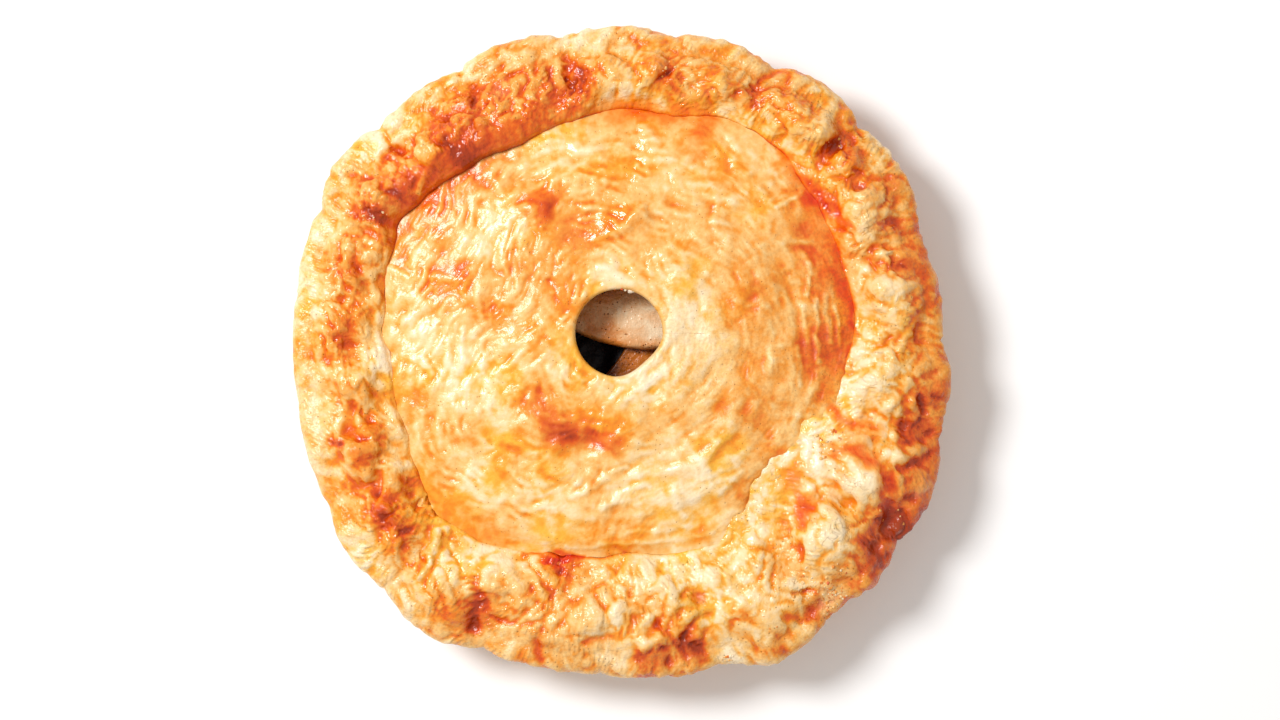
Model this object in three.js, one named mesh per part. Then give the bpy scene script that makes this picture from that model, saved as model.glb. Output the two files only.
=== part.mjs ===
// A baked double-crust fruit pie, in millimetres, +Z up, standing on its flat base at z = 0.
// The bottom crust is a dish-shaped case whose edge is folded in over the top crust and pinched
// into a thick, lumpy rim. The top crust is a domed lid with a round steam vent, and through the
// vent the fruit filling and some loose fruit slices show.
import * as THREE from 'three';

// Driving dimensions
const BASE_RADIUS = 92;
const WALL_TOP_RADIUS = 112;
const RIM_UNDER_Z = 29;
const CASE_THICKNESS = 5;
const BASE_CORNER = 3;
const LID_RADIUS = 111;
const LID_THICKNESS = 4.5;
const LID_SEAM_Z = 38.5;
const LID_DOME = 9;
const LID_SHOULDER = 2.8;
const LID_TUCK = 1.03;
const GAP = 0.7;

// The lid's dome is a squarish round, set a little off the pie's axis.
const DOME = { x: -0.6, y: 7.5, radiusX: 93, radiusY: 87, squareness: 2.6 };

// The edge of the fold, where the rim meets the lid, anticlockwise from +X: [angle in degrees,
// distance from the axis]. From 306 to 338 a flap of pastry reaches further in over the lid.
const SEAM = [
  [7, 93], [19, 93.5], [27, 94.5], [40, 97.5], [53, 101.5], [64, 101.5], [78, 95.5], [90, 96], [104, 93],
  [115, 90.5], [130, 94], [142, 98.5], [150, 101.5], [157, 99], [172, 95.5], [185, 91.5], [201, 91],
  [209, 93.5], [222, 97], [232, 94], [243, 88.5], [251, 84.5], [259, 82.5], [273, 80], [284, 82.5],
  [296, 84], [306, 79], [316, 74], [326, 73], [338, 77], [348, 86],
];

// The rim's cross-section: a crest between the fold's edge and a rolled outer edge. The fold rises
// gently from the lid, and steeply on the side where it was pushed in and stands over the lid. On
// one side the outer edge is rolled under with hardly a pinch.
const CREST_RISE = 6;
const CREST_LEAN = { gentle: 1.15, steep: 0.6, angle: 128, halfWidth: 50 };
const LIP_HEIGHT = 1;
const ROLL_REACH = 8;
const ROLL_HALF_HEIGHT = 6;
const CREASE_DEPTH = 3.2;
const NOTCH_DEPTH = 3.6;
const ROLLED_SIDE = { angle: 185, halfWidth: 60, smoothness: 0.7 };
const LOBE_ROUNDNESS = 0.75;
const LUMP_HEIGHT = 2.2;
const LUMP_PITCH = 13;
const EDGE_DROOP = 2;
const EDGE_RELIEF = 0.55;

// The pinched lobes of the rim, anticlockwise from +X: [angle in degrees, reach from the axis].
const LOBES = [
  [10, 129], [33.5, 133.5], [53, 133.5], [71, 130], [90.5, 130], [111, 131], [128, 132.5],
  [147, 136.5], [162, 133], [178, 131], [200, 131.5], [216, 135.5], [234, 137], [256, 130],
  [276.5, 131], [298, 138.5], [316.5, 137], [335, 136.5], [354, 132],
];

// Mounds (+) and hollows (-) that the fingers left on the rim: [x, y, radius, height].
const RIM_MOUNDS = [
  [110, 20, 17, 2.4], [98, 35, 9, -2], [95, 54, 16, 2.8], [94, 66, 9, -2], [107, 72, 10, 1.2], [89, 75, 9, 1.4],
  [84, 80, 6, -2.2], [75, 87, 14, 2.4], [39, 104, 13, 1.4], [17, 112, 12, 1.2], [0, 108, 13, 1.2], [-20, 107, 9, -3],
  [-34, 104, 12, 1.2], [-56, 96, 14, 1.6], [-76, 80, 16, 2], [-100, 60, 12, 1.4], [-104, 39, 10, 1], [-113, 12, 15, 2],
  [-106, 0, 7, -1.6], [-104, -14, 12, 2], [-96, -31, 9, 1.4], [-107, -32, 7, -1.6], [-104, -43, 11, 1.2],
  [-88, -50, 10, 1.6], [-70, -95, 14, 1.6], [-57, -108, 7, -2], [-44, -95, 13, 1.4], [-36, -114, 12, 1.2],
  [-10, -104, 12, 1.4], [12, -122, 10, 1.2], [19, -95, 12, 1.4], [60, -112, 12, 1.8], [74, -92, 8, -1.6],
  [82, -72, 14, 2.4], [99, -80, 11, 1.8], [106, -64, 9, -2.6], [96, -52, 13, 2.4], [120, -52, 9, 1.6],
  [100, -38, 11, -2], [106, -23, 9, 1.4], [101, -11, 11, 2.4],
];

// The steam vent, cut in the lid with a round cutter and flattened a little on one side.
const VENT = { x: -1, y: 7.3, radius: 17.2, flatAngle: -48, flatDepth: 2, flatHalfWidth: 50, round: 1 };

// Low swellings (+) and hollows (-) of the lid: [x, y, radius, height].
const LID_SWELLINGS = [
  [-13, -35, 10, -2.4], [-33, 58, 12, 1.3], [6, 53, 9, 1.6], [-62, 22, 22, 1.2],
  [38, -40, 26, 1.4], [52, 40, 24, 1.1], [-45, -42, 20, -1.0],
];
const LID_RIPPLE = 0.9;
const LID_RIPPLE_PITCH = 17;
const LID_RELIEF_FADE = [0.62, 0.85];

// The cooked-down hollow of the filling under the vent, its two floor levels and its dark pit.
const HOLLOW = { floorRadius: 40, mouthRadius: 50, frontZ: 12.5, backZ: 18.3, stepY: 12, stepWidth: 6 };
const PIT = { x: -11, y: -2, radius: 11, depth: 4 };

// The slices that show in the vent: [length, width, thickness], the middle's place, and the turn
// about Z in degrees.
const SLICES = [
  { name: 'fruit_slice_lower', size: [38, 24, 4.4], at: [4.2, -9.6, 16], turn: -127 },
  { name: 'fruit_slice_upper', size: [66, 30, 7.8], at: [1.1, 16.4, 22.75], turn: 170 },
];

const SECTORS_RIM = LOBES.length * 6;
const SECTORS_LID = 84;
const SECTORS_FILLING = 60;
const LID_TOP_ROWS = 15;

const { degToRad, smoothstep, lerp, euclideanModulo } = THREE.MathUtils;

// Smooth lattice noise between -1 and 1, the same on every run.
function lattice(i, j, k) {
  const s = Math.sin(i * 127.1 + j * 311.7 + k * 74.7) * 43758.5453;
  return s - Math.floor(s);
}

function noise(x, y, z) {
  const [i, j, k] = [Math.floor(x), Math.floor(y), Math.floor(z)];
  const [u, v, w] = [x - i, y - j, z - k].map((f) => f * f * (3 - 2 * f));
  const along = (b, c) => lerp(lattice(i, j + b, k + c), lattice(i + 1, j + b, k + c), u);
  return 2 * lerp(lerp(along(0, 0), along(1, 0), v), lerp(along(0, 1), along(1, 1), v), w) - 1;
}

function polar(angle, radius, z) {
  return [radius * Math.cos(degToRad(angle)), radius * Math.sin(degToRad(angle)), z];
}

// The smallest turn from one angle to another, in degrees, between -180 and 180.
function turnBetween(from, to) {
  return euclideanModulo(to - from + 180, 360) - 180;
}

// A smooth bump of height 1 at an angle, gone at its half width.
function bumpAt(angle, centre, halfWidth) {
  return 1 - smoothstep(Math.abs(turnBetween(centre, angle)), 0, halfWidth);
}

// What a ring of [angle, distance] gives at an angle, and the share of the way to its next entry.
function ringAt(ring, angle) {
  const last = ring.length - 1;
  const start = ring.findLastIndex(([at]) => at <= angle);
  const [from, fromDistance] = ring[start < 0 ? last : start];
  const [to, toDistance] = ring[start < 0 || start === last ? 0 : start + 1];
  const share = euclideanModulo(angle - from, 360) / euclideanModulo(to - from, 360);
  return { share, distance: lerp(fromDistance, toDistance, smoothstep(share, 0, 1)) };
}

// The rim at an angle: how far its outline reaches, and its bulge from 0 in a pinched crease to
// 1 on a lobe.
function lobeAt(angle) {
  const { share, distance } = ringAt(LOBES, angle);
  const bulge = Math.abs(Math.cos(Math.PI * share)) ** LOBE_ROUNDNESS;
  const rolled = ROLLED_SIDE.smoothness * bumpAt(angle, ROLLED_SIDE.angle, ROLLED_SIDE.halfWidth);
  return { reach: distance - NOTCH_DEPTH * (1 - rolled) * (1 - bulge), bulge };
}

function seamRadius(angle) {
  return ringAt(SEAM, angle).distance;
}

// The height at a place that a list of soft round swellings adds up to.
function swellings(x, y, places) {
  let height = 0;
  for (const [sx, sy, radius, rise] of places)
    height += rise * (1 - smoothstep(Math.hypot(x - sx, y - sy), 0, radius));
  return height;
}

// A place on the lid as a share of the way from the lid's middle to the foot of its dome.
function lidShare(x, y) {
  const across = Math.abs((x - DOME.x) / DOME.radiusX) ** DOME.squareness;
  const along = Math.abs((y - DOME.y) / DOME.radiusY) ** DOME.squareness;
  return (across + along) ** (1 / DOME.squareness);
}

// The lid's smooth dome, and its top with the relief, which fades out under the fold.
function lidDome(x, y) {
  return LID_SEAM_Z + LID_DOME * (1 - Math.min(lidShare(x, y), LID_TUCK) ** LID_SHOULDER);
}

function lidTop(x, y) {
  const open = 1 - smoothstep(lidShare(x, y), ...LID_RELIEF_FADE);
  const ripple = LID_RIPPLE * noise(x / LID_RIPPLE_PITCH, y / LID_RIPPLE_PITCH, 7);
  return lidDome(x, y) + (ripple + swellings(x, y, LID_SWELLINGS)) * open;
}

// A closed surface round the axis. Each row is a function from an angle in degrees to a point, and
// the rows run outwards below and back inwards above. Where the surface meets the axis, its first
// and last rows are single points, and otherwise the last row joins the first.
function turnedSolid(sectors, rows, onAxis) {
  const positions = [];
  const indices = [];
  const inner = onAxis ? rows.slice(1, -1) : rows;
  for (const row of inner)
    for (let i = 0; i < sectors; i++) positions.push(...row((360 * i) / sectors));
  const at = (k, i) => (k % inner.length) * sectors + (i % sectors);
  const bands = onAxis ? inner.length - 1 : inner.length;
  for (let k = 0; k < bands; k++)
    for (let i = 0; i < sectors; i++)
      indices.push(at(k, i), at(k, i + 1), at(k + 1, i + 1), at(k, i), at(k + 1, i + 1), at(k + 1, i));
  if (onAxis) {
    const first = positions.length / 3;
    positions.push(...rows[0](0), ...rows[rows.length - 1](0));
    for (let i = 0; i < sectors; i++) {
      indices.push(first, at(0, i + 1), at(0, i));
      indices.push(first + 1, at(bands, i), at(bands, i + 1));
    }
  }
  const geometry = new THREE.BufferGeometry();
  geometry.setAttribute('position', new THREE.Float32BufferAttribute(positions, 3));
  geometry.setIndex(indices);
  geometry.computeVertexNormals();
  return geometry;
}

// The rim's relief at a place: soft lumps all over, and the mounds and hollows of the pinching.
function rimLumps(x, y) {
  return LUMP_HEIGHT * noise(x / LUMP_PITCH, y / LUMP_PITCH, 1) + swellings(x, y, RIM_MOUNDS);
}

// A point of the rim's upper side: share 0 at the fold's edge, 1 where the outer roll begins.
function rimTop(angle, share) {
  const { reach, bulge } = lobeAt(angle);
  const seam = seamRadius(angle);
  const [x, y] = polar(angle, lerp(seam, reach - ROLL_REACH, share), 0);
  const lip = lidDome(...polar(angle, seam, 0)) + LIP_HEIGHT;
  const steepness = bumpAt(angle, CREST_LEAN.angle, CREST_LEAN.halfWidth);
  const lean = lerp(CREST_LEAN.gentle, CREST_LEAN.steep, steepness);
  const crest = CREST_RISE * Math.sin(Math.PI * share ** lean);
  const towardsEdge = lerp(1, EDGE_RELIEF, smoothstep(share, 0.6, 1));
  const lumps = rimLumps(x, y) * smoothstep(share, 0, 0.3);
  const crease = CREASE_DEPTH * (1 - bulge) * smoothstep(share, 0.12, 0.6);
  const level = lerp(lip, RIM_UNDER_Z + 2 * ROLL_HALF_HEIGHT, share);
  return [x, y, level + crest + (lumps - crease) * towardsEdge];
}

// A point of the rolled outer edge: turn 90 is its top, 0 its outermost line, -90 its underside.
function rimRoll(angle, turn) {
  const { reach, bulge } = lobeAt(angle);
  const [out, up] = [Math.cos(degToRad(turn)), Math.sin(degToRad(turn))];
  const [x, y] = polar(angle, reach - ROLL_REACH, 0);
  const relief = EDGE_RELIEF * (rimLumps(x, y) - CREASE_DEPTH * (1 - bulge));
  const droop = EDGE_DROOP * noise(x / LUMP_PITCH, y / LUMP_PITCH, 5) * out;
  const z = RIM_UNDER_Z + ROLL_HALF_HEIGHT * (1 + up) + droop + relief * Math.max(0, up);
  return polar(angle, reach + ROLL_REACH * (out - 1), z);
}

// The inside of the case's sloping wall, set in by the pastry's thickness across the slope.
function innerWallRadius(z) {
  const slope = (WALL_TOP_RADIUS - BASE_RADIUS) / (RIM_UNDER_Z - BASE_CORNER);
  return BASE_RADIUS + slope * (z - BASE_CORNER) - CASE_THICKNESS * Math.hypot(1, slope);
}

// The bottom crust: flat base, sloping wall, rim, the slot that grips the lid, and the inside.
function bottomCrust() {
  const rows = [() => [0, 0, 0]];
  for (const share of [0.35, 0.7]) rows.push((a) => polar(a, BASE_RADIUS * share, 0));
  for (const turn of [0, 45, 90]) {
    const [out, up] = [Math.sin(degToRad(turn)), 1 - Math.cos(degToRad(turn))];
    rows.push((a) => polar(a, BASE_RADIUS + BASE_CORNER * (out - 1), BASE_CORNER * up));
  }
  for (const share of [0.33, 0.66, 1]) {
    const [radius, z] = [lerp(BASE_RADIUS, WALL_TOP_RADIUS, share), lerp(BASE_CORNER, RIM_UNDER_Z, share)];
    rows.push((a) => polar(a, radius, z));
  }
  for (const turn of [-90, -45, 0, 45, 90]) rows.push((a) => rimRoll(a, turn));
  for (let share = 0.9; share > 0.01; share -= 0.1) rows.push((a) => rimTop(a, share));
  rows.push((a) => rimTop(a, 0));
  const slotEnd = LID_RADIUS + GAP;
  const slot = (a, radius, rise) => {
    const [x, y] = polar(a, radius, 0);
    return [x, y, lidDome(x, y) + rise];
  };
  for (const share of [0, 0.5, 1]) rows.push((a) => slot(a, lerp(seamRadius(a) + GAP, slotEnd, share), GAP));
  rows.push((a) => slot(a, slotEnd, -LID_THICKNESS - GAP));
  rows.push((a) => slot(a, innerWallRadius(RIM_UNDER_Z), -LID_THICKNESS - GAP));
  for (const z of [RIM_UNDER_Z, CASE_THICKNESS]) rows.push((a) => polar(a, innerWallRadius(z), z));
  rows.push((a) => polar(a, BASE_RADIUS * 0.5, CASE_THICKNESS));
  rows.push(() => [0, 0, CASE_THICKNESS]);
  return turnedSolid(SECTORS_RIM, rows, true);
}

function ventRadius(angle) {
  return VENT.radius - VENT.flatDepth * bumpAt(angle, VENT.flatAngle, VENT.flatHalfWidth);
}

// How far a ray from the vent's centre runs to a circle round the pie's axis.
function ventToCircle(angle, radius) {
  const [c, s] = [Math.cos(degToRad(angle)), Math.sin(degToRad(angle))];
  const along = VENT.x * c + VENT.y * s;
  return -along + Math.sqrt(along * along + radius ** 2 - VENT.x ** 2 - VENT.y ** 2);
}

function fromVent(angle, distance) {
  const [x, y] = polar(angle, distance, 0);
  return [VENT.x + x, VENT.y + y];
}

// The top crust: a domed disc of even thickness with the vent through it and a rounded vent edge.
function topCrust() {
  const rows = [];
  const spot = (a, share, inset) => {
    const [edge, outside] = [ventRadius(a) + inset, ventToCircle(a, LID_RADIUS)];
    return fromVent(a, lerp(edge, outside, share));
  };
  for (const share of [0, 0.3, 0.65, 1])
    rows.push((a) => {
      const [x, y] = spot(a, share, 0);
      return [x, y, lidDome(x, y) - LID_THICKNESS];
    });
  for (let k = 0; k <= LID_TOP_ROWS; k++)
    rows.push((a) => {
      const [x, y] = spot(a, 1 - k / LID_TOP_ROWS, VENT.round);
      return [x, y, lidTop(x, y)];
    });
  rows.push((a) => {
    const [x, y] = spot(a, 0, 0);
    return [x, y, lidTop(x, y) - VENT.round];
  });
  return turnedSolid(SECTORS_LID, rows, false);
}

// The floor of the filling's hollow: higher at the back, lower at the front, with the dark pit.
function hollowFloor(x, y) {
  const step = smoothstep(y, HOLLOW.stepY, HOLLOW.stepY + HOLLOW.stepWidth);
  const pit = PIT.depth * (1 - smoothstep(Math.hypot(x - PIT.x, y - PIT.y), 0, PIT.radius));
  return lerp(HOLLOW.frontZ, HOLLOW.backZ, step) - pit;
}

// The filling: fruit packed against the case and the lid, cooked down to a hollow under the vent.
function filling() {
  const bottom = CASE_THICKNESS + GAP;
  const top = LID_THICKNESS + 2 * GAP;
  const rows = [() => [0, 0, bottom]];
  rows.push((a) => polar(a, BASE_RADIUS * 0.5, bottom));
  rows.push((a) => polar(a, innerWallRadius(bottom) - 2 * GAP, bottom));
  const shoulder = innerWallRadius(RIM_UNDER_Z) - 2 * GAP;
  rows.push((a) => {
    const [x, y] = polar(a, shoulder, 0);
    return [x, y, Math.min(lidDome(x, y) - top, RIM_UNDER_Z)];
  });
  const mouth = (a, share) => fromVent(a, lerp(ventToCircle(a, shoulder - 1), HOLLOW.mouthRadius, share));
  for (const share of [0, 0.5, 1])
    rows.push((a) => {
      const [x, y] = mouth(a, share);
      return [x, y, lidDome(x, y) - top];
    });
  for (const share of [1, 0.75, 0.5, 0.25])
    rows.push((a) => {
      const [x, y] = fromVent(a, HOLLOW.floorRadius * share);
      return [x, y, hollowFloor(x, y)];
    });
  rows.push(() => [VENT.x, VENT.y, hollowFloor(VENT.x, VENT.y)]);
  return turnedSolid(SECTORS_FILLING, rows, true);
}

// A peeled slice of fruit: a crescent with a rounded edge, lying flat about its own middle.
function fruitSlice(length, width, thickness) {
  const bevel = thickness * 0.3;
  const [half, deep] = [length / 2 - bevel, width - 2 * bevel];
  const outline = new THREE.Shape();
  outline.moveTo(-half, 0);
  outline.quadraticCurveTo(-half * 1.05, deep, 0, deep);
  outline.quadraticCurveTo(half * 1.05, deep, half, 0);
  outline.quadraticCurveTo(0, deep * 0.28, -half, 0);
  const geometry = new THREE.ExtrudeGeometry(outline, {
    depth: thickness - 2 * bevel,
    bevelThickness: bevel,
    bevelSize: bevel,
    bevelSegments: 2,
    curveSegments: 7,
  });
  return geometry.translate(0, -deep / 2, bevel - thickness / 2);
}

const BAKED_PASTRY = { color: '#e8a75a', roughness: 0.5 };
const GLAZED_PASTRY = { color: '#f3be72', roughness: 0.4 };
const COOKED_FRUIT = { color: '#8a4a1c', roughness: 0.35 };
const FRUIT_FLESH = { color: '#d9a877', roughness: 0.3 };

const pie = new THREE.Group();

function addPiece(name, geometry, finish) {
  const piece = new THREE.Mesh(geometry, new THREE.MeshStandardMaterial({ ...finish, metalness: 0 }));
  piece.name = name;
  pie.add(piece);
  return piece;
}

addPiece('bottom_crust', bottomCrust(), BAKED_PASTRY);
addPiece('filling', filling(), COOKED_FRUIT);
for (const { name, size, at, turn } of SLICES) {
  const slice = addPiece(name, fruitSlice(...size), FRUIT_FLESH);
  slice.position.set(...at);
  slice.rotation.z = degToRad(turn);
}
addPiece('top_crust', topCrust(), GLAZED_PASTRY);

export default pie;
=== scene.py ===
import math

import bpy
import numpy as np
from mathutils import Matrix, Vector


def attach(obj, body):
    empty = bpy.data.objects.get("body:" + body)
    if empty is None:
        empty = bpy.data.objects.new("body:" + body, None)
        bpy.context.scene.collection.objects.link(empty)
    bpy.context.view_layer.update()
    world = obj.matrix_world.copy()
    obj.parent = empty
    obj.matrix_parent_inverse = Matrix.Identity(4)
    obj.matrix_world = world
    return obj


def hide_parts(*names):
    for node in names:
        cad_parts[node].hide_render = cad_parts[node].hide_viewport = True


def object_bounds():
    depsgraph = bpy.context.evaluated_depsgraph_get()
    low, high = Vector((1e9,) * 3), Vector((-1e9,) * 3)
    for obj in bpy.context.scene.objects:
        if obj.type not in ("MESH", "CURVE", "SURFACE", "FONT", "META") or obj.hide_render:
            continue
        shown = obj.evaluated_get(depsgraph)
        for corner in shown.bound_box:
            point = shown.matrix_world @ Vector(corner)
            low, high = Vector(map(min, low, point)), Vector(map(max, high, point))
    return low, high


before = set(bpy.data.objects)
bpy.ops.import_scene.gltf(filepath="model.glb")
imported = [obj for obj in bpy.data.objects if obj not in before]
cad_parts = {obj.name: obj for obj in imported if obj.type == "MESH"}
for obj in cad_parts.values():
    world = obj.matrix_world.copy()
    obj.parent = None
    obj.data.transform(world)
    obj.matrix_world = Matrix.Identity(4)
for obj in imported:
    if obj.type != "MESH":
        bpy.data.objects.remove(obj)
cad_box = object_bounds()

# A baked double-crust fruit pie with a thick hand-pinched rim and a round steam vent. The sections
# follow the baker's work: the bottom crust with its folded rim, the filling, the fruit slices on it,
# the top crust, then the crumbs on the baked crust. Lengths are in millimetres, angles in degrees.


# The bottom crust is one sheet of short pastry laid in a sloping dish. Its edge is folded in over
# the top crust, pinched by hand into a thick rim of lobes, brushed with egg and baked until the
# crags of the rim browned.
MM = 0.001
BASE_RADIUS = 92
BASE_CORNER = 3
CASE_THICKNESS = 5
WALL_TOP_RADIUS = 112
RIM_UNDER_Z = 29
RIM_SECTORS = 880
CORNER_ROWS, WALL_ROWS, ROLL_ROWS, TOP_ROWS = 5, 13, 23, 59
TOP_ROWS_CROWDED = 1.15

# The lid's dome, which the fold lies on, and the slot that holds the lid's edge under the fold.
LID_RADIUS = 111
LID_THICKNESS = 4.5
LID_SEAM_Z = 38.5
LID_DOME = 9
LID_SHOULDER = 2.8
LID_TUCK = 1.03
DOME_CENTRE = (-0.6, 7.5)
DOME_RADII = (93, 87)
DOME_SQUARENESS = 2.6
SLOT_INSET = 3
SLOT_END_ROOM = 1
SLOT_CLEARANCE = 0.3

# The fold over the lid: a gentle slope, a steep pushed side, and one wide ragged flap.
FLAP_ANGLE = -37
FLAP_HALF_WIDTH = 26
FLAP_LEAN = 2.2
GENTLE_LEAN = 1.15
STEEP_LEAN = 0.6
STEEP_ANGLE = 128
STEEP_HALF_WIDTH = 50
CREST_RISE = 6
LIP_HEIGHT = 0.2
STANDING_LIP_HEIGHT = 1.2
LIP_PRESSED_IN = 1.3

# The rolled outer edge with its lobes and the creases pinched between them. The rolled side, an
# angle and its half width, has shallow notches. A torn notch is [angle, half width, depth].
ROLL_REACH = 8
ROLL_HALF_HEIGHT = 6
EDGE_DROOP = 2
EDGE_RELIEF = 0.55
CREASE_DEPTH = 3.2
NOTCH_DEPTH = 3.6
LOBE_ROUNDNESS = 0.75
LUMP_HEIGHT = 2.2
LUMP_PITCH = 13
ROLLED_SIDE = (185, 60)
TORN_NOTCHES = [[-48, 6, 2], [-69, 4, 2.5]]
LOBE_ANGLES = np.array([10, 33.5, 53, 71, 90.5, 111, 128, 147, 162, 178,
                        200, 216, 234, 256, 276.5, 298, 316.5, 335, 354])
LOBE_REACHES = np.array([129, 133.5, 133.5, 130, 130, 131, 132.5, 136.5, 133, 131,
                         131.5, 135.5, 137, 130, 131, 138.5, 137, 136.5, 132])
SEAM_ANGLES = np.array([7, 19, 27, 40, 53, 64, 78, 90, 104, 115, 130, 142, 150, 157, 172, 185, 201,
                        209, 222, 232, 243, 251, 259, 273, 284, 296, 306, 316, 326, 338, 348])
SEAM_REACHES = np.array([93, 93.5, 94.5, 97.5, 101.5, 101.5, 95.5, 96, 93, 90.5, 94, 98.5, 101.5, 99,
                         95.5, 91.5, 91, 93.5, 97, 94, 88.5, 84.5, 82.5, 80, 82.5, 84, 79, 74, 73,
                         77, 86])
RIM_MOUNDS = [
    [110, 20, 17, 2.4], [98, 35, 9, -2], [95, 54, 16, 2.8], [94, 66, 9, -2], [107, 72, 10, 1.2],
    [89, 75, 9, 1.4], [84, 80, 6, -2.2], [75, 87, 14, 2.4], [39, 104, 13, 1.4], [17, 112, 12, 1.2],
    [0, 108, 13, 1.2], [-20, 107, 9, -3], [-34, 104, 12, 1.2], [-56, 96, 14, 1.6], [-76, 80, 16, 2],
    [-100, 60, 12, 1.4], [-104, 39, 10, 1], [-113, 12, 15, 2], [-106, 0, 7, -1.6], [-104, -14, 12, 2],
    [-96, -31, 9, 1.4], [-107, -32, 7, -1.6], [-104, -43, 11, 1.2], [-88, -50, 10, 1.6],
    [-70, -95, 14, 1.6], [-57, -108, 7, -2], [-44, -95, 13, 1.4], [-36, -114, 12, 1.2],
    [-10, -104, 12, 1.4], [12, -122, 10, 1.2], [19, -95, 12, 1.4], [60, -112, 12, 1.8],
    [74, -92, 8, -1.6], [82, -72, 14, 2.4], [99, -80, 11, 1.8], [106, -64, 9, -2.6], [96, -52, 13, 2.4],
    [120, -52, 9, 1.6], [100, -38, 11, -2], [106, -23, 9, 1.4], [101, -11, 11, 2.4],
]


def smoothstep(value, low, high):
    share = np.clip((value - low) / (high - low), 0, 1)
    return share * share * (3 - 2 * share)


def blend(low, high, share):
    return low + (high - low) * share


def lattice(i, j, layer):
    """A fixed number from 0 to 1 for each corner of a square lattice."""
    wave = np.sin(i * 127.1 + j * 311.7 + layer * 74.7) * 43758.5453
    return wave - np.floor(wave)


def noise(x, y, layer):
    """Smooth lattice noise between -1 and 1, the same on every run."""
    i, j = np.floor(x), np.floor(y)
    u, v = smoothstep(x - i, 0, 1), smoothstep(y - j, 0, 1)
    near = blend(lattice(i, j, layer), lattice(i + 1, j, layer), u)
    far = blend(lattice(i, j + 1, layer), lattice(i + 1, j + 1, layer), u)
    return 2 * blend(near, far, v) - 1


def bump_at(angle, centre, half_width):
    """A smooth bump of height 1 at an angle, gone at its half width."""
    turn = (angle - centre + 180) % 360 - 180
    return 1 - smoothstep(np.abs(turn), 0, half_width)


def bumps_at(angle, places):
    """The sum of smooth bumps round the pie, each [angle, half width, height]."""
    return sum(height * bump_at(angle, place, half_width) for place, half_width, height in places)


def polar(angle, radius, z):
    turn = np.radians(angle)
    return np.stack(np.broadcast_arrays(radius * np.cos(turn), radius * np.sin(turn), z), axis=-1)


def on_surface(points, surface, rise=0.0):
    """Points moved up or down onto a surface, or a rise above it."""
    points[..., 2] = surface(points[..., 0], points[..., 1]) + rise
    return points


def ring_at(places, distances, angle):
    """The distance that a ring of places gives at an angle, and the share of the way to the next."""
    start = np.searchsorted(places, angle % 360, side="right") - 1
    end = (start + 1) % len(places)
    span = (places[end] - places[start]) % 360
    share = ((angle - places[start]) % 360) / span
    return blend(distances[start], distances[end], smoothstep(share, 0, 1)), share


def lobe_at(angle):
    """How far the rim's outline reaches, and its bulge from 0 in a pinched crease to 1 on a lobe."""
    crest, share = ring_at(LOBE_ANGLES, LOBE_REACHES, angle)
    bulge = np.abs(np.cos(np.pi * share)) ** LOBE_ROUNDNESS
    pinched = NOTCH_DEPTH * (1 - 0.7 * bump_at(angle, *ROLLED_SIDE))
    return crest - pinched * (1 - bulge) - bumps_at(angle, TORN_NOTCHES), bulge


def seam_radius(angle):
    """Where the fold's ragged edge lies on a ray from the pie's axis."""
    c, s = np.cos(np.radians(angle)), np.sin(np.radians(angle))
    ragged = 1.3 * noise(13 * c, 13 * s, 41) + 0.6 * noise(33 * c, 33 * s, 42)
    distance, _ = ring_at(SEAM_ANGLES, SEAM_REACHES, angle)
    return distance + ragged * (0.4 + 0.9 * bump_at(angle, FLAP_ANGLE, FLAP_HALF_WIDTH))


def seam_gape(angle):
    """How far the fold stands open along the seam: 1 where it gapes, 0 where it baked shut."""
    shut = 0.3 * (1 - bump_at(angle, FLAP_ANGLE, 60))
    steep_side = bump_at(angle, STEEP_ANGLE, STEEP_HALF_WIDTH)
    lower_side = 0.8 * bump_at(angle, 245, 60)
    return np.maximum(shut, np.maximum(steep_side, lower_side))


def lid_share(x, y):
    """How far out a place lies on the lid: 0 at the dome's middle, 1 at its foot."""
    across = np.abs((x - DOME_CENTRE[0]) / DOME_RADII[0]) ** DOME_SQUARENESS
    along = np.abs((y - DOME_CENTRE[1]) / DOME_RADII[1]) ** DOME_SQUARENESS
    return (across + along) ** (1 / DOME_SQUARENESS)


def lid_dome(x, y):
    return LID_SEAM_Z + LID_DOME * (1 - np.minimum(lid_share(x, y), LID_TUCK) ** LID_SHOULDER)


def swellings(x, y, places):
    """The height that a list of soft round swellings, each [x, y, radius, rise], adds up to."""
    height = np.zeros_like(x)
    for spot_x, spot_y, radius, rise in places:
        height += rise * (1 - smoothstep(np.hypot(x - spot_x, y - spot_y), 0, radius))
    return height


def rim_lumps(x, y):
    return LUMP_HEIGHT * noise(x / LUMP_PITCH, y / LUMP_PITCH, 1) + swellings(x, y, RIM_MOUNDS)


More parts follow.
